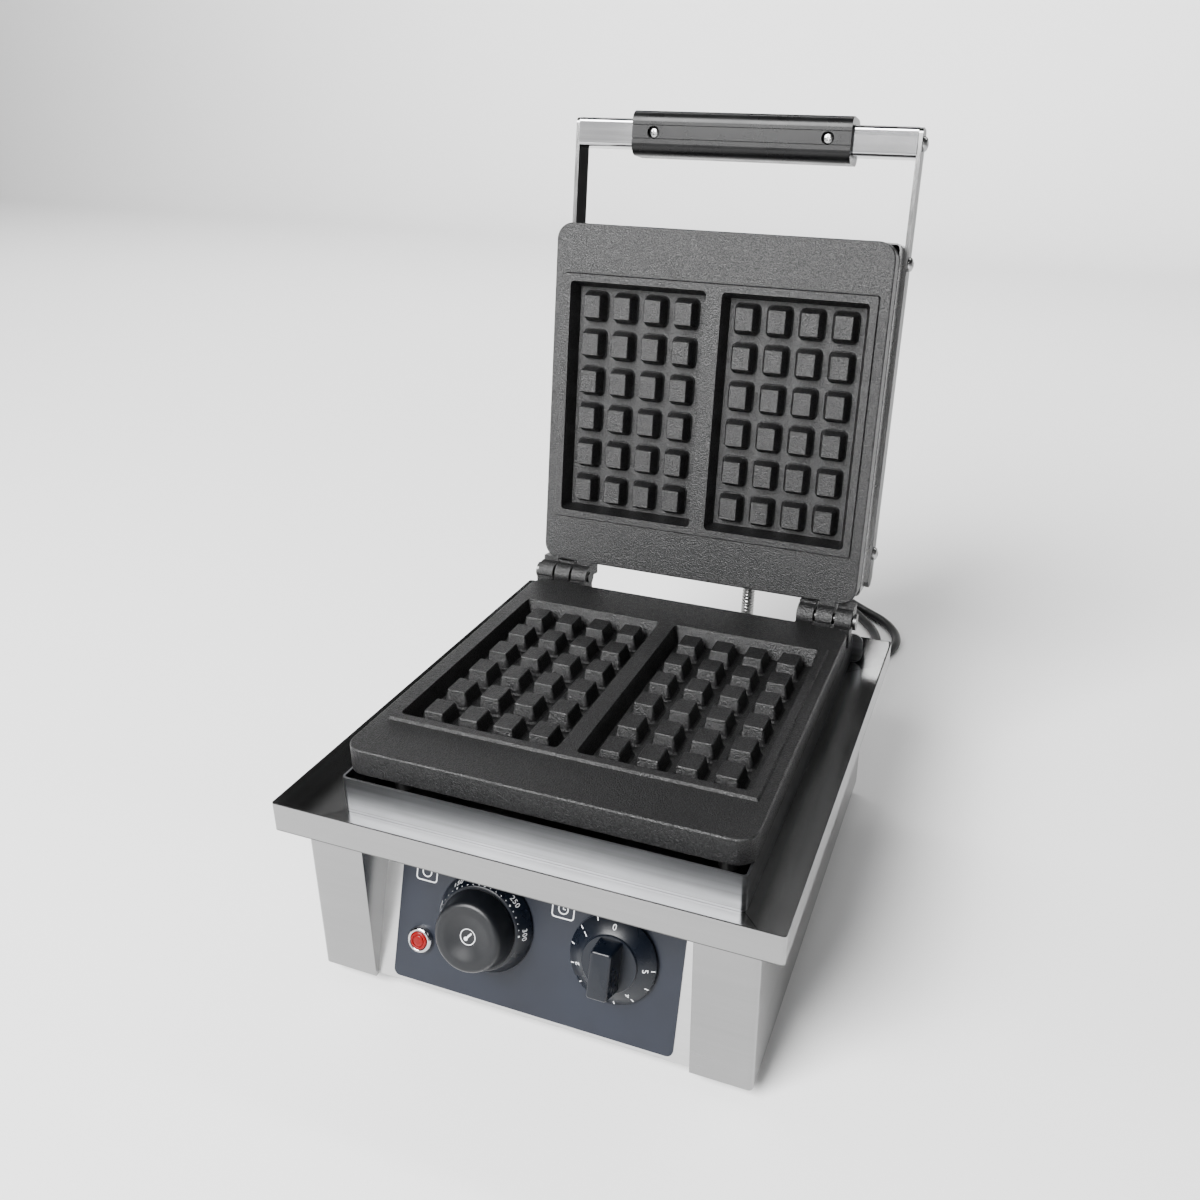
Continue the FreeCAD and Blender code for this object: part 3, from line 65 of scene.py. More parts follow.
class Finish:
    """A node material built up from a Principled shader, in object coordinates."""

    def __init__(self, name, color, metallic=0.0, roughness=0.5, **sockets):
        self.material = bpy.data.materials.new(name)
        self.material.use_nodes = True
        self.tree = self.material.node_tree
        self.shader = self.tree.nodes["Principled BSDF"]
        self.color = color
        self.set("Base Color", (*color, 1.0))
        self.set("Metallic", metallic)
        self.set("Roughness", roughness)
        for socket, value in sockets.items():
            self.set(socket.replace("_", " "), value)
        self.place = self.tree.nodes.new("ShaderNodeTexCoord").outputs["Object"]
        self.normal = None

    def set(self, socket, value):
        self.shader.inputs[socket].default_value = value

    def node(self, kind, links=(), **settings):
        made = self.tree.nodes.new(kind)
        for key, value in settings.items():
            setattr(made, key, value)
        for socket, value in links:
            if isinstance(value, bpy.types.NodeSocket):
                self.tree.links.new(value, made.inputs[socket])
            else:
                made.inputs[socket].default_value = value
        return made

    def link(self, source, socket):
        self.tree.links.new(source, self.shader.inputs[socket])

    def noise(self, scale, stretch=(1, 1, 1), detail=3.0, roughness=0.55):
        mapped = self.node("ShaderNodeMapping", [("Vector", self.place), ("Scale", stretch)])
        made = self.node(
            "ShaderNodeTexNoise",
            [("Vector", mapped.outputs[0]), ("Scale", scale), ("Detail", detail), ("Roughness", roughness)],
        )
        return made.outputs["Fac"]

    def span(self, source, low, high, from_low=0.3, from_high=0.7):
        links = [("Value", source), ("From Min", from_low), ("From Max", from_high)]
        links += [("To Min", low), ("To Max", high)]
        return self.node("ShaderNodeMapRange", links).outputs["Result"]

    def vary_color(self, source, dark, light):
        low = (*[channel * dark for channel in self.color], 1.0)
        high = (*[channel * light for channel in self.color], 1.0)
        mix = self.node("ShaderNodeMix", data_type="RGBA")
        self.tree.links.new(self.span(source, 0.0, 1.0), mix.inputs["Factor"])
        mix.inputs[6].default_value = low
        mix.inputs[7].default_value = high
        self.link(mix.outputs[2], "Base Color")

    def vary_roughness(self, source, low, high):
        self.link(self.span(source, low, high), "Roughness")

    def sums(self, operation, first, second=0.0):
        return self.node("ShaderNodeMath", [(0, first), (1, second)], operation=operation).outputs[0]

    def shade(self, mask, share):
        """Darkens the colour to a share of itself where the mask is 1."""
        before = self.shader.inputs["Base Color"].links[0].from_socket
        mix = self.node("ShaderNodeMix", data_type="RGBA", blend_type="MULTIPLY")
        self.tree.links.new(mask, mix.inputs["Factor"])
        self.tree.links.new(before, mix.inputs[6])
        mix.inputs[7].default_value = (share, share, share, 1.0)
        self.link(mix.outputs[2], "Base Color")

    def band(self, axis, low, high):
        """1 where a coordinate lies between two values, m."""
        value = self.node("ShaderNodeSeparateXYZ", [(0, self.place)]).outputs[axis]
        above = self.sums("GREATER_THAN", value, low)
        return self.sums("MULTIPLY", above, self.sums("LESS_THAN", value, high))

    def average(self, first, second):
        return self.sums("MULTIPLY", self.sums("ADD", first, second), 0.5)

    def bump(self, source, height, strength=1.0):
        links = [("Height", source), ("Distance", height), ("Strength", strength)]
        if self.normal:
            links.append(("Normal", self.normal))
        self.normal = self.node("ShaderNodeBump", links).outputs["Normal"]
        self.link(self.normal, "Normal")


grain_depth = 0.01 * MM
fold_shade_share = 0.4


def brushed(name, color, stretch, low, high, streak=0.05, fold_shade_bands=()):
    """Stainless sheet with grain along one direction, broader streaks, faint handling marks and painted shade
    lines along given bands.
    """
    finish = Finish(name, color, metallic=1.0, roughness=(low + high) / 2)
    grain = finish.noise(1.0, stretch, detail=3.0)
    wide = finish.noise(1.0, tuple(share / 5 for share in stretch), detail=2.0)
    marks = finish.noise(14.0, detail=4.0)
    finish.vary_roughness(finish.average(wide, marks), low, high)
    finish.vary_color(finish.average(grain, wide), 1.0 - streak, 1.0 + streak)
    finish.bump(grain, grain_depth, 0.5)
    # Painted shade: dark lines along the sheet's folds.
    for low_z, high_z in fold_shade_bands:
        finish.shade(finish.band(2, low_z, high_z), fold_shade_share)
    return finish.material


def bar_steel():
    """Flat bar whose colour is painted light: faces turned left or right are near black as a painted dark
    reflection, all other faces brighter as a painted highlight.
    """
    painted_dark_face_color = (0.018, 0.018, 0.018)
    painted_highlight_edge_color = (0.17, 0.17, 0.17)
    finish = Finish("stainless_bar", painted_dark_face_color, metallic=1.0, roughness=0.2)
    finish.set("Specular Tint", (0.45, 0.45, 0.45, 1.0))
    normal = finish.node("ShaderNodeTexCoord").outputs["Normal"]
    sideways = finish.node("ShaderNodeSeparateXYZ", [(0, normal)]).outputs[0]
    flat = finish.sums("ABSOLUTE", sideways)
    # Painted reflection and highlight: the colour follows how far each face turns sideways.
    mix = finish.node("ShaderNodeMix", data_type="RGBA")
    finish.tree.links.new(finish.span(flat, 0.0, 1.0), mix.inputs["Factor"])
    mix.inputs[6].default_value = (*painted_highlight_edge_color, 1.0)
    mix.inputs[7].default_value = (*painted_dark_face_color, 1.0)
    finish.link(mix.outputs[2], "Base Color")
    grain = finish.noise(1.0, (600, 600, 6), detail=3.0)
    finish.vary_roughness(grain, 0.14, 0.26)
    finish.bump(grain, grain_depth, 0.5)
    return finish.material


def moulded(name, color, low, high, **sockets):
    """Moulded plastic or rubber with a fine grain and slight unevenness."""
    finish = Finish(name, color, roughness=(low + high) / 2, **sockets)
    finish.vary_roughness(finish.noise(60.0), low, high)
    finish.vary_color(finish.noise(30.0), 0.85, 1.15)
    finish.bump(finish.noise(2600.0, detail=2.0), 0.04 * MM, 0.5)
    return finish.material


def coated_casting():
    """Dark non-stick coat over a sand casting: a coarse grain that glints, with a slow swell."""
    finish = Finish("plate_coat", (0.0024, 0.0024, 0.0026), roughness=0.43, Specular_IOR_Level=0.46)
    finish.vary_color(finish.noise(35.0), 0.8, 1.25)
    grain = finish.noise(1000.0, detail=2.0, roughness=0.7)
    finish.vary_roughness(finish.noise(420.0), 0.3, 0.46)
    finish.link(finish.span(grain, 0.31, 0.66, 0.36, 0.66), "Specular IOR Level")
    finish.bump(grain, 0.8 * MM, 0.85)
    finish.bump(finish.noise(300.0, detail=2.0), 0.3 * MM, 0.25)
    return finish.material


def red_lens():
    """Clear red lamp lens."""
    finish = Finish("lens_red", (0.15, 0.0012, 0.0016), roughness=0.24, Specular_IOR_Level=0.2)
    finish.vary_color(finish.noise(500.0), 0.8, 1.2)
    finish.bump(finish.noise(1400.0, detail=1.0), 0.03 * MM, 0.3)
    return finish.material


# Colour kept at the dark mitre seams, which are the sheet's own joints, and in the painted shade along the
# tray's lower edge.
seam_and_shade_share = 0.3
mitre_line = 0.4 * MM
hem_shade_line = 0.6 * MM


def tray_steel():
    """Stainless whose grain follows each side of the tray and meets in mitres at its corners, with a painted
    shade line along the tray's lower edge.
    """
    finish = Finish("tray_steel", sheet_color, metallic=1.0, roughness=0.22)
    low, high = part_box("drip_tray")
    split = finish.node("ShaderNodeSeparateXYZ", [(0, finish.place)])
    normal = finish.node("ShaderNodeNewGeometry").outputs["Normal"]
    facing_up = finish.node("ShaderNodeSeparateXYZ", [(0, normal)]).outputs[2]
    x_side = finish.sums("SUBTRACT", high[0], finish.sums("ABSOLUTE", split.outputs[0]))
    front = finish.sums("SUBTRACT", split.outputs[1], low[1])
    rear = finish.sums("SUBTRACT", high[1], split.outputs[1])
    y_side = finish.sums("MINIMUM", front, rear)
    runs_across = finish.sums("LESS_THAN", y_side, x_side)
    level = finish.sums("GREATER_THAN", finish.sums("ABSOLUTE", facing_up), 0.5)

    def choose(mask, yes, no):
        links = [("Factor", mask), (2, no), (3, yes)]
        return finish.node("ShaderNodeMix", links, data_type="FLOAT").outputs[0]

    def grain_at(fine):
        across = finish.noise(1.0, (5, fine, 5), detail=3.0)
        along = finish.noise(1.0, (fine, 5, 5), detail=3.0)
        upright = finish.noise(1.0, (5, 5, fine), detail=3.0)
        return choose(level, choose(runs_across, across, along), upright)

    grain = grain_at(700)
    wide = grain_at(140)
    finish.vary_roughness(finish.average(wide, finish.noise(14.0, detail=4.0)), 0.17, 0.28)
    finish.vary_color(finish.average(grain, wide), 0.94, 1.06)
    finish.bump(grain, grain_depth, 0.5)
    off_mitre = finish.sums("ABSOLUTE", finish.sums("SUBTRACT", y_side, x_side))
    mitre = finish.sums("MULTIPLY", finish.sums("LESS_THAN", off_mitre, mitre_line), level)
    finish.shade(mitre, seam_and_shade_share)
    # Painted shade: a dark line along the lower edge of the tray's lip.
    finish.shade(finish.band(2, low[2] - 1 * MM, low[2] + hem_shade_line), seam_and_shade_share)
    return finish.material


def fibre():
    """Pressed mineral fibre."""
    finish = Finish("fibre", (0.72, 0.69, 0.62), roughness=0.95)
    finish.vary_color(finish.noise(300.0, detail=5.0), 0.8, 1.1)
    finish.bump(finish.noise(700.0, detail=5.0), 0.4 * MM, 0.8)
    return finish.material


level_grain = (5, 5, 700)
sheet_color = (0.262, 0.262, 0.262)
steel = brushed("stainless", sheet_color, level_grain, 0.18, 0.3)
upstand_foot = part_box("plate_upstand")[0][2]
# Painted shade lines at the upstand's foot and at its first fold.
upstand_fold_shade_bands = (
    (upstand_foot - 1.0 * MM, upstand_foot + 0.3 * MM),
    (upstand_foot + 1.7 * MM, upstand_foot + 2.0 * MM),
)
steel_upstand = brushed(
    "stainless_upstand", (0.215, 0.219, 0.228), (7, 7, 330), 0.3, 0.42, streak=0.32, fold_shade_bands=upstand_fold_shade_bands
)
steel_lid = brushed("stainless_lid", (0.2, 0.2, 0.2), level_grain, 0.2, 0.32)
steel_arm = bar_steel()
steel_bright = brushed("stainless_bright", (0.5, 0.5, 0.5), level_grain, 0.26, 0.36)
steel_tube = brushed("stainless_tube", (0.3, 0.3, 0.305), (6, 260, 260), 0.06, 0.14, streak=0.3)
steel_plain = brushed("steel_plain", (0.42, 0.42, 0.41), (40, 40, 600), 0.3, 0.5)
steel_dark = brushed("steel_dark", (0.05, 0.05, 0.05), (40, 40, 600), 0.4, 0.6)
screw_steel = brushed("screw_steel", (0.32, 0.32, 0.32), (300, 300, 300), 0.14, 0.26)
pin_steel = brushed("pin_steel", (0.07, 0.07, 0.07), (300, 300, 300), 0.26, 0.4)
chrome = brushed("chrome", (0.42, 0.42, 0.43), (200, 200, 200), 0.06, 0.12)
conduit_steel = brushed("conduit_steel", (0.34, 0.34, 0.335), (300, 300, 600), 0.2, 0.34)
brass = brushed("pin_brass", (0.6, 0.47, 0.26), (300, 300, 300), 0.2, 0.35)
coat = coated_casting()
overlay = moulded("overlay", (0.0065, 0.0085, 0.0145), 0.4, 0.5, Specular_IOR_Level=0.3)
gloss_black = moulded("knob_gloss", (0.0022, 0.0035, 0.0066), 0.24, 0.34, Specular_IOR_Level=0.3)
matte_black = moulded("knob_matte", (0.0028, 0.0034, 0.0048), 0.34, 0.44, Specular_IOR_Level=0.33)
grip_black = moulded("grip_black", (0.003, 0.003, 0.0032), 0.24, 0.34, Specular_IOR_Level=0.2)
rubber = moulded("rubber", (0.009, 0.009, 0.009), 0.55, 0.7, Specular_IOR_Level=0.35)
cord_black = moulded("cord_black", (0.006, 0.006, 0.0065), 0.36, 0.5, Specular_IOR_Level=0.35)
case_plastic = moulded("case_plastic", (0.6, 0.58, 0.52), 0.45, 0.6)
ceramic = moulded("ceramic", (0.75, 0.73, 0.68), 0.5, 0.65)
print_white = moulded("print_white", (0.62, 0.63, 0.65), 0.45, 0.55)
lens = red_lens()
tray = tray_steel()
pad = fibre()


# Finishes and softened edges of the nodes that stay

def dress(names, material, edge=0.0):
    """Gives nodes a finish and, where their edges show, a small rounding."""
    for name in names:
        node = nodes[name]
        node.data.materials.clear()
        node.data.materials.append(material)
        if edge:
            bevel = node.modifiers.new("soft_edges", "BEVEL")
            bevel.width = edge
            bevel.segments = 2
            bevel.limit_method = "ANGLE"
            bevel.angle_limit = math.radians(40)


small_edge = 0.2 * MM
fine_edge = 0.3 * MM
sheet_edge = 0.4 * MM
round_edge = 0.6 * MM
dress(["lower_plate", "upper_plate"], coat, fine_edge)
dress(["base_housing"], steel, sheet_edge)
dress(["plate_upstand", "rear_upstand"], steel_upstand, fine_edge)
dress(["bottom_cover"], steel)
dress(["drip_tray"], tray, fine_edge)
dress(["control_panel"], steel_bright)
dress(["panel_overlay"], overlay)
dress(["lid_cover"], steel_lid)
dress(["handle_arm_left", "handle_arm_right"], steel_arm, round_edge)
dress(["handle_tube"], steel_tube)
dress(["handle_grip"], grip_black, sheet_edge)
dress(["lower_heating_element", "upper_heating_element"], steel_plain)
dress(["lower_element_clamp", "upper_element_clamp"], steel_plain)
dress(["lower_clamp_studs", "upper_clamp_studs", "lid_posts", "handle_tube_blocks"], steel_plain)
dress(["plate_posts"], steel_dark)
dress(["thermostat_bulb", "thermostat_shaft", "timer_shaft"], steel_plain)
dress(["lower_insulation_pad", "upper_insulation_pad"], pad)
dress(["plate_post_screws", "foot_screws"], screw_steel, small_edge)
dress(["hinge_pin_left", "hinge_pin_right"], pin_steel, small_edge)
dress(["thermostat_body", "timer_body", "lamp_body"], case_plastic, fine_edge)
dress(["terminal_block"], ceramic, fine_edge)
dress(["conduit_lid_gland", "conduit_base_gland"], conduit_steel, fine_edge)
dress(["plug_pins"], brass, fine_edge)
dress(["cord_tie"], rubber, small_edge)
dress(["foot_front_left", "foot_front_right", "foot_rear_left", "foot_rear_right"], rubber, round_edge)


# Mesh pieces

def piece(name, verts, faces, material, matrix=Matrix(), sharp=35):
    """A mesh object in its place, smooth but for its sharp edges."""
    mesh = bpy.data.meshes.new(name)
    mesh.from_pydata(verts, [], faces)
    mesh.transform(matrix)
    work = bmesh.new()
    work.from_mesh(mesh)
    bmesh.ops.recalc_face_normals(work, faces=work.faces)
    work.to_mesh(mesh)
    work.free()
    mesh.polygons.foreach_set("use_smooth", [True] * len(mesh.polygons))
    mesh.set_sharp_from_angle(angle=math.radians(sharp))
    mesh.materials.append(material)
    made = bpy.data.objects.new(name, mesh)
    bpy.context.scene.collection.objects.link(made)
    return made


def lathe(profile, segments=96):
    """Points and faces of a profile of radius and height (mm) turned about Z."""
    verts = []
    rings = []
    for radius, height in profile:
        if radius == 0:
            rings.append([len(verts)] * segments)
            verts.append((0, 0, height * MM))
            continue
        rings.append(range(len(verts), len(verts) + segments))
        for step in range(segments):
            turn = 2 * math.pi * step / segments
            verts.append((radius * MM * math.cos(turn), radius * MM * math.sin(turn), height * MM))
    faces = []
    for low, high in zip(rings, rings[1:]):
        for step in range(segments):
            after = (step + 1) % segments
            corners = []
            for corner in (low[step], low[after], high[after], high[step]):
                if corner not in corners:
                    corners.append(corner)
            faces.append(corners)
    return verts, faces


def panel_matrix(joint):
    """The panel's frame at a knob: X across, Y up the slope, Z outwards."""
    outward = -Vector(joints[joint]["axis"]).normalized()
    across = Vector((1, 0, 0))
    matrix = Matrix((across, outward.cross(across), outward)).transposed().to_4x4()
    matrix.translation = Vector(joints[joint]["pos_m"])
    return matrix


thermostat = panel_matrix("thermostat_turn")
timer = panel_matrix("timer_turn")


def settle(made, body, slot, *replaced):
    """Puts a piece on its body and hides what it stands for."""
    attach(made, body)
    if replaced:
        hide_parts(*replaced)


# Thermostat dial and knob

cone_foot = (29.8, 2.3)
cone_head = (25.3, 10.0)
dial_profile = [
    (8.0, 0.5), (29.5, 0.5), (30.0, 0.9), (30.0, 1.9), cone_foot, cone_head, (24.9, 10.5), (24.4, 10.7),
    (8.0, 10.7), (8.0, 0.5),
]
dial = piece("dial_cone", *lathe(dial_profile, 128), gloss_black, thermostat)
settle(dial, "base", "knob_gloss", "thermostat_dial")

dish_radius = 14.5
dish_floor = 22.0
dish_steps = 12
face_height = 25.0


def dish(radius):
    """Height of the knob's dished face, mm."""
    square = min(radius / dish_radius, 1.0) ** 2
    return dish_floor + (face_height - dish_floor) * square * (2.0 - square) ** 0.5


knob_profile = [
    (3.1, 11.2), (22.9, 11.2), (23.4, 11.6), (23.45, 12.2), (20.9, 21.6), (20.6, 22.8), (20.0, 23.9),
    (19.2, 24.6), (18.2, 24.95), (17.0, face_height), (15.6, face_height),
]
for step in range(dish_steps, -1, -1):
    radius = dish_radius * step / dish_steps
    knob_profile.append((radius, dish(radius)))
knob = piece("thermostat_cap", *lathe(knob_profile, 128), matte_black, thermostat, sharp=60)
settle(knob, "thermostat", "knob_matte", "thermostat_knob")


# Timer knob: skirt, hub and bar

skirt_foot = (25.7, 3.7)
skirt_head = (17.2, 8.4)
skirt_profile = [
    (3.1, 2.2), (25.6, 2.2), (26.0, 2.6), (26.0, 3.3), skirt_foot, skirt_head, (16.6, 8.8), (16.5, 9.6),
    (16.1, 10.0), (0.0, 10.0),
]
skirt_verts, skirt_faces = lathe(skirt_profile, 128)


def bar_outline(width, length, height, inset, corner=1.6, steps=6):
    """A round-cornered outline of the bar at one height, mm."""
    half_x = width / 2 - inset - corner
    half_y = length / 2 - inset - corner
    points = []
    middles = ((half_x, half_y), (-half_x, half_y), (-half_x, -half_y), (half_x, -half_y))
    for quarter, (x, y) in enumerate(middles):
        for step in range(steps + 1):
            turn = math.pi / 2 * (quarter + step / steps)
            across = x + corner * math.cos(turn)
            along = y + corner * math.sin(turn)
            points.append((across * MM, along * MM, height * MM))
    return points


def loft(rings):
    """Points and faces of closed rings joined one to the next, with both ends closed."""
    verts = [point for ring in rings for point in ring]
    count = len(rings[0])
    faces = []
    for level in range(len(rings) - 1):
        for step in range(count):
            after = (step + 1) % count
            low = level * count
            faces.append((low + step, low + after, low + count + after, low + count + step))
    faces.append(tuple(range(count))[::-1])
    faces.append(tuple(range(len(verts) - count, len(verts))))
    return verts, faces


bar_levels = (
    (14.0, 29.6, 8.0, 0.0), (13.6, 29.2, 12.0, 0.0), (12.3, 27.4, 23.6, 0.0),
    (12.1, 27.2, 24.4, 0.1), (12.0, 27.0, 24.85, 0.45), (12.0, 27.0, 25.0, 1.0),
)
bar_verts, bar_faces = loft([bar_outline(*level) for level in bar_levels])
shift = len(skirt_verts)
timer_faces = skirt_faces + [tuple(corner + shift for corner in face) for face in bar_faces]
timer_knob = piece("timer_grip", skirt_verts + bar_verts, timer_faces, gloss_black, timer)
settle(timer_knob, "timer", "knob_gloss", "timer_knob")


# Printed marks: flat shapes laid on a surface given by its height at each radius

class Print:
    """Small flat shapes in a knob's or the panel's frame, in mm."""

    def __init__(self, surface, lift=0.06):
        self.verts = []
        self.faces = []
        self.surface = surface
        self.lift = lift

    def add(self, points, faces):
        start = len(self.verts)
        for x, y in points:
            height = self.surface(math.hypot(x, y)) + self.lift
            self.verts.append((x * MM, y * MM, height * MM))
        self.faces += [tuple(corner + start for corner in face) for face in faces]

    def disc(self, x, y, radius, steps=16):
        turns = [2 * math.pi * step / steps for step in range(steps)]
        points = [(x + radius * math.cos(turn), y + radius * math.sin(turn)) for turn in turns]
        self.add(points, [tuple(range(steps))])

    def bent(self, points, faces, radius, degrees, squeeze):
        """Lays flat points, given across and outwards, round the dial at a clockwise angle."""
        placed = []
        for across, outwards in points:
            turn = math.radians(degrees) + across / radius
            reach = radius + outwards * squeeze
            placed.append((reach * math.sin(turn), reach * math.cos(turn)))
        self.add(placed, faces)

    def dot(self, size, radius, degrees, squeeze, steps=14):
        turns = [2 * math.pi * step / steps for step in range(steps)]
        points = [(size * math.cos(turn), size * math.sin(turn)) for turn in turns]
        self.bent(points, [tuple(range(steps))], radius, degrees, squeeze)

    def tick(self, width, length, radius, degrees, squeeze, cuts=4):
        points = []
        for step in range(cuts + 1):
            for side in (-width / 2, width / 2):
                points.append((side, (step / cuts - 0.5) * length))
        faces = [(2 * step, 2 * step + 1, 2 * step + 3, 2 * step + 2) for step in range(cuts)]
        self.bent(points, faces, radius, degrees, squeeze)

    def ring(self, x, y, inner, outer, steps=64):
        points = []
        for step in range(steps):
            turn = 2 * math.pi * step / steps
            for radius in (inner, outer):
                points.append((x + radius * math.cos(turn), y + radius * math.sin(turn)))
        faces = []
        for step in range(steps):
            low = 2 * step
            high = 2 * ((step + 1) % steps)
            faces.append((low, low + 1, high + 1, high))
        self.add(points, faces)

    def bar(self, x, y, width, length, turn=0.0, cuts=6):
        points = []
        for step in range(cuts + 1):
            for side in (-0.5, 0.5):
                across = side * width
                along = (step / cuts - 0.5) * length
                right = across * math.cos(turn) + along * math.sin(turn)
                up = along * math.cos(turn) - across * math.sin(turn)
                points.append((x + right, y + up))
        self.add(points, [(2 * step, 2 * step + 1, 2 * step + 3, 2 * step + 2) for step in range(cuts)])

    def frame_line(self, x, y, width, height, corner, line):
        outer = bar_outline(width, height, 0, 0.0, corner)
        inner = bar_outline(width, height, 0, line, corner - line)
        points = [(x + px / MM, y + py / MM) for px, py, _ in outer + inner]
        count = len(outer)
        self.add(points, [(i, (i + 1) % count, count + (i + 1) % count, count + i) for i in range(count)])

    def words(self, text, size, radius, degrees, squeeze):
        letters = bpy.data.curves.new("letters", "FONT")
        letters.body = text
        letters.size = size
        letters.space_character = 1.12
        letters.align_x = "CENTER"
        letters.align_y = "CENTER"
        letters.resolution_u = 4
        holder = bpy.data.objects.new("letters", letters)
        flat = bpy.data.meshes.new_from_object(holder)
        points = [(vert.co.x, vert.co.y) for vert in flat.vertices]
        self.bent(points, [tuple(face.vertices) for face in flat.polygons], radius, degrees, squeeze)
        bpy.data.objects.remove(holder)
        bpy.data.curves.remove(letters)
        bpy.data.meshes.remove(flat)

    def make(self, name, matrix, material):
        return piece(name, self.verts, self.faces, material, matrix, sharp=60)


def slope_print(foot, head):
    """A print on the cone between two circles, and the share of its slope that shows from above."""
    across = foot[0] - head[0]
    rise = head[1] - foot[1]
    made = Print(lambda radius: foot[1] + (foot[0] - radius) * rise / across)
    return made, across / math.hypot(across, rise)


dial_print, cone_squeeze = slope_print(cone_foot, cone_head)
first_label = -81
label_turn = 42
dots_per_label = 5
dot_radius = 25.45
large_dot = 0.6
small_dot = 0.34
off_mark = -138
label_size = 4.5
label_radius = 27.4
for mark in range(4 * dots_per_label + 1):
    size = large_dot if mark % dots_per_label == 0 else small_dot
    dial_print.dot(size, dot_radius, first_label + label_turn * mark / dots_per_label, cone_squeeze)
for number in range(5):
    label = str(100 + 50 * number)
    dial_print.words(label, label_size, label_radius, first_label + label_turn * number, cone_squeeze)
dial_print.dot(large_dot, 25.5, off_mark, cone_squeeze)
settle(dial_print.make("dial_print", thermostat, print_white), "base", None)

cap_print = Print(dish)
cap_print.ring(0, 0, 4.35, 4.85)
cap_print.disc(-1.3, -1.5, 1.15)
cap_print.bar(0.5, 0.6, 1.0, 4.6, math.radians(40))
settle(cap_print.make("cap_print", thermostat, print_white), "thermostat", None)

timer_print, skirt_squeeze = slope_print(skirt_foot, skirt_head)
tick_turn = -27
tick_width = 0.6
tick_length = 2.4
tick_radius = 24.4
number_size = 4.9
number_radius = 20.3
for half_minute in range(11):
    angle = tick_turn * half_minute
    timer_print.tick(tick_width, tick_length, tick_radius, angle, skirt_squeeze)
    if half_minute % 2 == 0:
        timer_print.words(str(half_minute // 2), number_size, number_radius, angle, skirt_squeeze)
settle(timer_print.make("timer_print", timer, print_white), "timer", None)

overlay_face = 0.5
overlay_print = Print(lambda radius: overlay_face, lift=0.05)
middle = thermostat.translation.x / MM
icon_width = 14.0
icon_height = 11.6
icon_corner = 2.2
icon_line = 0.75
icon_ring = 2.5
hand_width = 0.6
for icon_x, icon_y, shape in ((-72.8, 20.0, "dial"), (15.3, 19.6, "clock")):
    x = icon_x - middle
    overlay_print.frame_line(x, icon_y, icon_width, icon_height, icon_corner, icon_line)
    overlay_print.ring(x, icon_y, icon_ring, icon_ring + icon_line)
    if shape == "dial":
        overlay_print.bar(x, icon_y + 4.0, icon_line, 2.4)
    else:
        overlay_print.bar(x + 0.6, icon_y, hand_width, 1.8, math.radians(90))
        overlay_print.bar(x, icon_y + 0.8, hand_width, 2.0)
settle(overlay_print.make("overlay_print", thermostat, print_white), "base", None)


# Indicator lamp

low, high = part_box("lamp_bezel")
lamp_middle = (Vector(low) + Vector(high)) / 2
lamp = thermostat.copy()
local = thermostat.inverted() @ lamp_middle
lamp.translation = thermostat @ Vector((local.x, local.y, 0))
bezel_profile = [
    (5.45, 0.5), (8.0, 0.5), (8.0, 2.3), (7.85, 3.0), (7.45, 3.6), (6.9, 3.95), (6.3, 4.1), (5.9, 4.0),
    (5.6, 3.7), (5.45, 3.3), (5.45, 0.5),
]
settle(piece("lamp_ring", *lathe(bezel_profile), chrome, lamp, sharp=70), "base", "bezel", "lamp_bezel")
lens_profile = [
    (5.35, 0.5), (5.35, 3.9), (5.1, 4.25), (4.7, 4.4), (4.1, 4.45), (3.85, 4.3), (3.7, 3.9), (3.45, 3.9),
    (3.3, 4.35), (2.8, 4.55), (1.5, 4.65), (0.0, 4.68),
]
settle(piece("lamp_window", *lathe(lens_profile), lens, lamp, sharp=50), "base", "lens_red", "lamp_lens")


# Screws with drive recesses, whose sizes are shares of the head's height and radius

recess_depth = 0.62
cross_width = 0.26
cross_length = 1.15
hex_reach = 0.46


def screw_head(name, radius, height, drive, matrix):
    """A domed head with its recess; Z points out of the seat, which is at zero."""
    profile = [(0.0, 0.0), (radius, 0.0)]
    for step in range(1, 10):
        turn = math.pi / 2 * step / 10
        profile.append((radius * math.cos(turn) ** 0.7, height * (0.15 + 0.85 * math.sin(turn))))
    profile.append((0.0, height))
    head = piece(name, *lathe(profile, 48), screw_steel)
    floor = height - height * recess_depth
    mouth = height + 1.0
    if drive == "cross":
        blades = []
        faces = []
        thin = radius * cross_width
        long = radius * cross_length
        for width, length in ((thin, long), (long, thin)):
            start = len(blades)
            for z, share in ((floor, 0.7), (mouth, 1.0)):
                for x, y in ((1, 1), (-1, 1), (-1, -1), (1, -1)):
                    blades.append((x * width * share * MM / 2, y * length * share * MM / 2, z * MM))
            box = ((0, 3, 2, 1), (4, 5, 6, 7), (0, 1, 5, 4), (1, 2, 6, 5), (2, 3, 7, 6), (3, 0, 4, 7))
            faces += [tuple(corner + start for corner in face) for face in box]
    else:
        reach = radius * hex_reach * MM
        turns = [math.pi / 3 * side for side in range(6)]
        ring = [(math.cos(turn) * reach, math.sin(turn) * reach) for turn in turns]
        blades, faces = loft([[(x, y, z * MM) for x, y in ring] for z in (floor, mouth)])
    cutter = piece(name + "_cutter", blades, faces, screw_steel)
    cut = head.modifiers.new("recess", "BOOLEAN")
    cut.operation = "DIFFERENCE"
    cut.solver = "EXACT"
    cut.use_self = True
    cut.object = cutter
    depsgraph = bpy.context.evaluated_depsgraph_get()
    done = bpy.data.meshes.new_from_object(head.evaluated_get(depsgraph))
    head.modifiers.clear()
    head.data = done
    bpy.data.objects.remove(cutter)
    done.transform(matrix)
    done.polygons.foreach_set("use_smooth", [True] * len(done.polygons))
    done.set_sharp_from_angle(angle=math.radians(35))
    return head


half_gap = 0.15


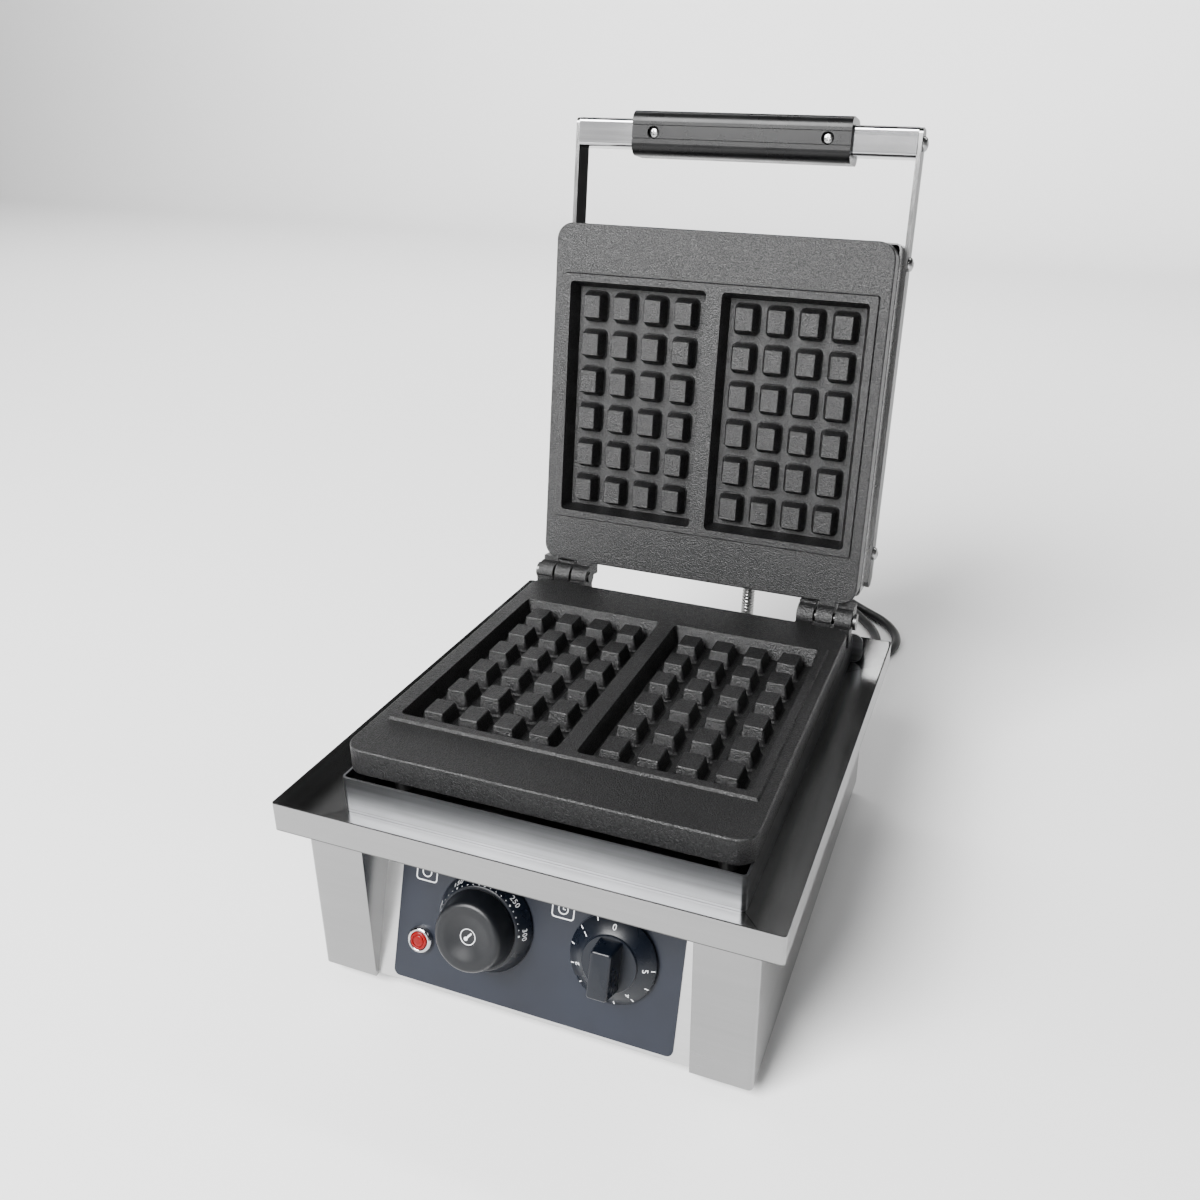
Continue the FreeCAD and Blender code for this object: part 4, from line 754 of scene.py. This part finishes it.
def lid_point(x, reach, height):
    """A point of the open lid, given by x, reach from the axis and height over its plate's face, mm."""
    spot = Vector((x * MM, -reach * MM, (height + half_gap) * MM))
    turned = Matrix.Rotation(-open_turn, 3, "X") @ spot
    return hinge + turned


def facing(spot, outward):
    """A matrix at a point whose Z points outwards."""
    matrix = outward.to_track_quat("Z", "Y").to_matrix().to_4x4()
    matrix.translation = spot
    return matrix


sideways = Vector((1, 0, 0))
lid_out = Matrix.Rotation(-open_turn, 3, "X") @ Vector((0, 0, 1))


def screw_set(name, places, radius, height, drive, replaced):
    """The lid's screws of one kind as one piece, with their heads' radius and height in mm."""
    heads = []
    for number, place in enumerate(places):
        heads.append(screw_head(f"{name}_{number}", radius, height, drive, facing(*place)))
    work = bmesh.new()
    for head in heads:
        work.from_mesh(head.data)
    made = heads[0]
    work.to_mesh(made.data)
    work.free()
    for head in heads[1:]:
        bpy.data.objects.remove(head)
    made.name = name
    made.data.set_sharp_from_angle(angle=math.radians(35))
    settle(made, "lid", "screw_steel", replaced)


arm_outside = 127.0
arm_height = 43.85
arm_screw_reaches = (41.5, 251.0)
handle_reach = 330.3
grip_screw_x = 63.7
grip_screw_drop = 12.1
cover_screw_x = 103.0
cover_screw_reaches = (39.6, 235.0)
cover_height = 60.15
arm_places = []
tube_places = []
for side in (-1, 1):
    for reach in arm_screw_reaches:
        arm_places.append((lid_point(side * arm_outside, reach, arm_height), sideways * side))
    tube_places.append((lid_point(side * arm_outside, handle_reach, arm_height), sideways * side))
screw_set("arm_screw_heads", arm_places, 5.0, 3.2, "hex", "handle_arm_screws")
screw_set("tube_screw_heads", tube_places, 5.0, 3.2, "hex", "handle_tube_screws")
grip_places = []
for side in (-1, 1):
    grip_places.append((lid_point(side * grip_screw_x, handle_reach, arm_height - grip_screw_drop), -lid_out))
screw_set("grip_screw_heads", grip_places, 4.2, 2.6, "cross", "handle_grip_screws")
cover_places = []
for side in (-1, 1):
    for reach in cover_screw_reaches:
        cover_places.append((lid_point(side * cover_screw_x, reach, cover_height), lid_out))
screw_set("cover_screw_heads", cover_places, 3.8, 2.2, "cross", "lid_cover_screws")


# Tubes along a smooth route

def route_curve(name, points):
    """A smooth open spline with the route's points as its control points."""
    curve = bpy.data.curves.new(name, "CURVE")
    curve.dimensions = "3D"
    spline = curve.splines.new("NURBS")
    spline.points.add(len(points) - 1)
    for target, point in zip(spline.points, points):
        target.co = (*point, 1.0)
    spline.order_u = 3
    spline.use_endpoint_u = True
    curve.resolution_u = 12
    made = bpy.data.objects.new(name, curve)
    bpy.context.scene.collection.objects.link(made)
    return made


def behind_hinge(x, behind, height):
    """A point given by x, its distance behind the hinge axis and its height, mm."""
    return Vector((x * MM, hinge.y + behind * MM, height * MM))


# Conduit between the base and the lid

conduit_base_x = 12.0
conduit_base_height = 30.0
base_gland_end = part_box("conduit_base_gland")[1][1]
conduit_start = Vector((conduit_base_x * MM, base_gland_end, conduit_base_height * MM))
conduit_straight = 16.0 * MM
conduit_lid_x = 33.0
conduit_lid_height = 48.15
conduit_end = lid_point(conduit_lid_x, 1.7, conduit_lid_height)
conduit_before = lid_point(conduit_lid_x, -28.3, conduit_lid_height)
conduit_reach = 64.0 * MM
step_x = conduit_before.x - conduit_start.x
rise = conduit_before.z - conduit_start.z
conduit_points = [conduit_start, conduit_start + Vector((0, conduit_straight, 0))]
for across, back, up in ((0.02, 0.62, 0.03), (0.1, 0.97, 0.2), (0.28, 1.03, 0.46), (0.6, 0.72, 0.73)):
    conduit_points.append(conduit_start + Vector((across * step_x, back * conduit_reach, up * rise)))
conduit_points += [conduit_before, conduit_end]
conduit_route = route_curve("conduit_route", conduit_points)
line = bpy.data.meshes.new_from_object(conduit_route)
spots = [vert.co.copy() for vert in line.vertices]
bpy.data.objects.remove(conduit_route)


def resampled(points, step):
    """Points at an even distance along a dense line."""
    lengths = [0.0]
    for before, after in zip(points, points[1:]):
        lengths.append(lengths[-1] + (after - before).length)
    count = max(2, round(lengths[-1] / step))
    even = []
    place = 0
    for number in range(count + 1):
        want = lengths[-1] * number / count
        while place < len(points) - 2 and lengths[place + 1] < want:
            place += 1
        share = (want - lengths[place]) / (lengths[place + 1] - lengths[place])
        even.append(points[place].lerp(points[place + 1], min(max(share, 0.0), 1.0)))
    return even


def ribbed_hose(name, points, radii, material, sides=28):
    """A hose through even points whose radius follows a repeating list."""
    rings = []
    side = Vector((1, 0, 0))
    for number, point in enumerate(points):
        before = points[max(number - 1, 0)]
        after = points[min(number + 1, len(points) - 1)]
        along = (after - before).normalized()
        side = (side - along * side.dot(along)).normalized()
        other = along.cross(side)
        radius = radii[number % len(radii)]
        ring = []
        for step in range(sides):
            turn = 2 * math.pi * step / sides
            ring.append(point + (side * math.cos(turn) + other * math.sin(turn)) * radius * MM)
        rings.append(ring)
    return piece(name, *loft(rings), material, sharp=50)


rib_pitch = 2.6
rib_radii = (4.35, 4.3, 4.45, 4.85, 5.0, 4.8)
hose_points = resampled(spots, rib_pitch / len(rib_radii) * MM)
hose = ribbed_hose("conduit_hose", hose_points, rib_radii, conduit_steel)
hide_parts("conduit")
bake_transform(hose)


# Mains cord: gland, route to the coil, coil, route to the plug

gland_low, gland_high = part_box("cord_gland")
cord_exit = Vector(((gland_low[0] + gland_high[0]) / 2, gland_high[1], (gland_low[2] + gland_high[2]) / 2))
gland_length = 31.0
gland_seat = cord_exit - Vector((0, gland_length * MM, 0))
gland_profile = [(4.6, 0.2), (12.0, 0.0), (12.0, 2.4), (11.5, 3.0), (9.2, 3.0)]
for rib in range(6):
    start = 4.0 + 4.3 * rib
    radius = 9.0 - 0.43 * rib
    gland_profile += [(radius, start), (radius - 0.1, start + 2.6)]
    gland_profile += [(radius - 1.3, start + 2.9), (radius - 1.35, start + 4.0)]
gland_profile += [(6.2, 30.2), (6.0, 30.9), (4.6, gland_length)]
gland_matrix = facing(gland_seat, Vector((0, 1, 0)))
gland = piece("cord_relief", *lathe(gland_profile, 64), rubber, gland_matrix)
settle(gland, "base", "rubber", "cord_gland")

lying = 4.5
route_out = (
    (95.0, 82.0, 32.0), (97.0, 125.0, 6.5), (101.0, 170.0, lying), (112.0, 222.0, lying),
    (133.0, 268.0, lying), (118.0, 309.0, lying), (84.0, 335.0, lying), (57.0, 358.0, lying),
    (49.1, 391.0, lying),
)
route_back = (
    (26.0, 365.0, 13.0), (56.0, 342.0, 7.5), (80.0, 323.0, lying), (102.0, 294.0, lying),
    (113.0, 262.0, lying), (103.0, 226.0, lying), (72.0, 203.0, lying), (36.0, 196.0, 9.0),
    (4.0, 195.0, 17.5), (-24.0, 195.0, 18.5),
)
coil_x = -12.0
coil_behind = 430.0
coil_radius = 60.0
coil_pitch = 9.6
coil_turns = 2.75
coil_steps = 44
cord_points = [cord_exit]
for x, behind, height in route_out:
    cord_points.append(behind_hinge(x, behind, height))
for step in range(coil_steps + 1):
    turned = coil_turns * step / coil_steps
    radius = coil_radius - coil_pitch * min(turned, coil_turns - turned)
    climb = min(max((turned - coil_turns / 2) / 0.5 + 0.5, 0.0), 1.0)
    height = lying + coil_pitch * climb * climb * (3 - 2 * climb)
    angle = 2 * math.pi * turned
    x = coil_x + radius * math.cos(angle)
    behind = coil_behind + radius * math.sin(angle)
    cord_points.append(behind_hinge(x, behind, height))
for x, behind, height in route_back:
    cord_points.append(behind_hinge(x, behind, height))
cord = route_curve("mains_lead", cord_points)
cord.data.bevel_depth = lying * MM
cord.data.bevel_resolution = 5
cord.data.use_fill_caps = True
cord.data.materials.append(cord_black)
settle(cord, "base", "cord", "mains_cord", "cord_coil", "cord_tail")

plug_way = cord_points[-1] - cord_points[-2]
plug_way.z = 0
plug_matrix = facing(cord_points[-1], plug_way.normalized())
plug_profile = [(0.0, 0.0), (5.4, 0.0)]
for rib in range(5):
    start = 1.0 + 4.4 * rib
    radius = 5.7 + 0.5 * rib
    plug_profile += [(radius, start), (radius + 0.2, start + 2.8)]
    plug_profile += [(radius - 0.7, start + 3.1), (radius - 0.6, start + 4.0)]
plug_profile += [
    (8.0, 23.6), (10.5, 25.0), (16.5, 27.5), (17.8, 29.0), (18.4, 31.5), (18.5, 36.0), (17.8, 38.0),
    (17.8, 44.0), (18.5, 46.0), (18.5, 56.5), (18.0, 57.6), (17.0, 58.0), (0.0, 58.0),
]
plug = piece("plug_shell", *lathe(plug_profile, 72), rubber, plug_matrix)
settle(plug, "base", "rubber", "plug_body")


# Floor, backdrop and light

def backdrop():
    """A pale sheet that runs back along the floor and sweeps up behind."""
    front = -6.0
    rear = 3.2
    sweep = 0.8
    steps = 12
    half_width = 12.0
    wall_top = 1.1
    line = [(front, 0.0), (rear, 0.0)]
    for step in range(1, steps + 1):
        turn = math.pi / 2 * step / steps
        line.append((rear + sweep * math.sin(turn), sweep - sweep * math.cos(turn)))
    line.append((rear + sweep, wall_top))
    verts = [(x, y, z) for y, z in line for x in (-half_width, half_width)]
    faces = [(2 * i, 2 * i + 1, 2 * i + 3, 2 * i + 2) for i in range(len(line) - 1)]
    finish = Finish("backdrop", (0.88, 0.88, 0.88), roughness=0.9)
    finish.vary_color(finish.noise(0.6), 0.995, 1.005)
    made = piece("backdrop", verts, faces, finish.material)
    made.location.z = -0.2 * MM


def studio_world(horizon, ceiling):
    """Even light that is pale near the horizon and dim overhead."""
    world = bpy.data.worlds.new("studio")
    world.use_nodes = True
    tree = world.node_tree
    place = tree.nodes.new("ShaderNodeTexCoord")
    split = tree.nodes.new("ShaderNodeSeparateXYZ")
    fade = tree.nodes.new("ShaderNodeMapRange")
    tree.links.new(place.outputs["Generated"], split.inputs[0])
    tree.links.new(split.outputs[2], fade.inputs["Value"])
    for socket, value in (("From Min", 0.12), ("From Max", 0.45), ("To Min", horizon), ("To Max", ceiling)):
        fade.inputs[socket].default_value = value
    tree.nodes["Background"].inputs["Color"].default_value = (1.0, 1.0, 1.0, 1.0)
    tree.links.new(fade.outputs["Result"], tree.nodes["Background"].inputs["Strength"])
    bpy.context.scene.world = world


def area_light(name, spot, target, width, height, power):
    """A soft rectangular light."""
    light = bpy.data.lights.new(name, "AREA")
    light.shape = "RECTANGLE"
    light.size = width
    light.size_y = height
    light.energy = power
    made = bpy.data.objects.new(name, light)
    made.location = spot
    made.rotation_euler = (Vector(target) - Vector(spot)).to_track_quat("-Z", "Y").to_euler()
    bpy.context.scene.collection.objects.link(made)


backdrop()
studio_world(horizon=0.6, ceiling=0.05)
area_light("key", (-0.9, -2.25, 2.2), (0, 0, 0.2), width=1.8, height=1.7, power=400)
area_light("fill", (-0.9, -2.9, 0.9), (0, 0, 0.3), width=3.0, height=1.2, power=14)
area_light("rear", (-0.6, 1.4, 2.6), (-0.6, 3.7, 0.3), width=6.0, height=0.8, power=230)


# Camera at the photograph's place; the picture is a crop, so the lens is shifted

picture = 1200.0
sensor = 36.0
focal = 1062.93
centre_x = 678.97
centre_y = 555.71
camera_data = bpy.data.cameras.new("camera")
camera_data.sensor_width = sensor
camera_data.lens = focal / picture * sensor
camera_data.shift_x = (picture / 2 - centre_x) / picture
camera_data.shift_y = (centre_y - picture / 2) / picture
camera_data.clip_start = 0.02
camera = bpy.data.objects.new("camera", camera_data)
bpy.context.scene.collection.objects.link(camera)
look = Vector((-0.29520707, 0.86899487, -0.39711547))
rightward = Vector((0.94379554, 0.32990451, 0.02032206))
upward = rightward.cross(look)
placed = Matrix((rightward, upward, -look)).transposed().to_4x4()
placed.translation = hinge + Vector((0.22495, -0.6919, 0.34645))
camera.matrix_world = placed
bpy.context.scene.camera = camera
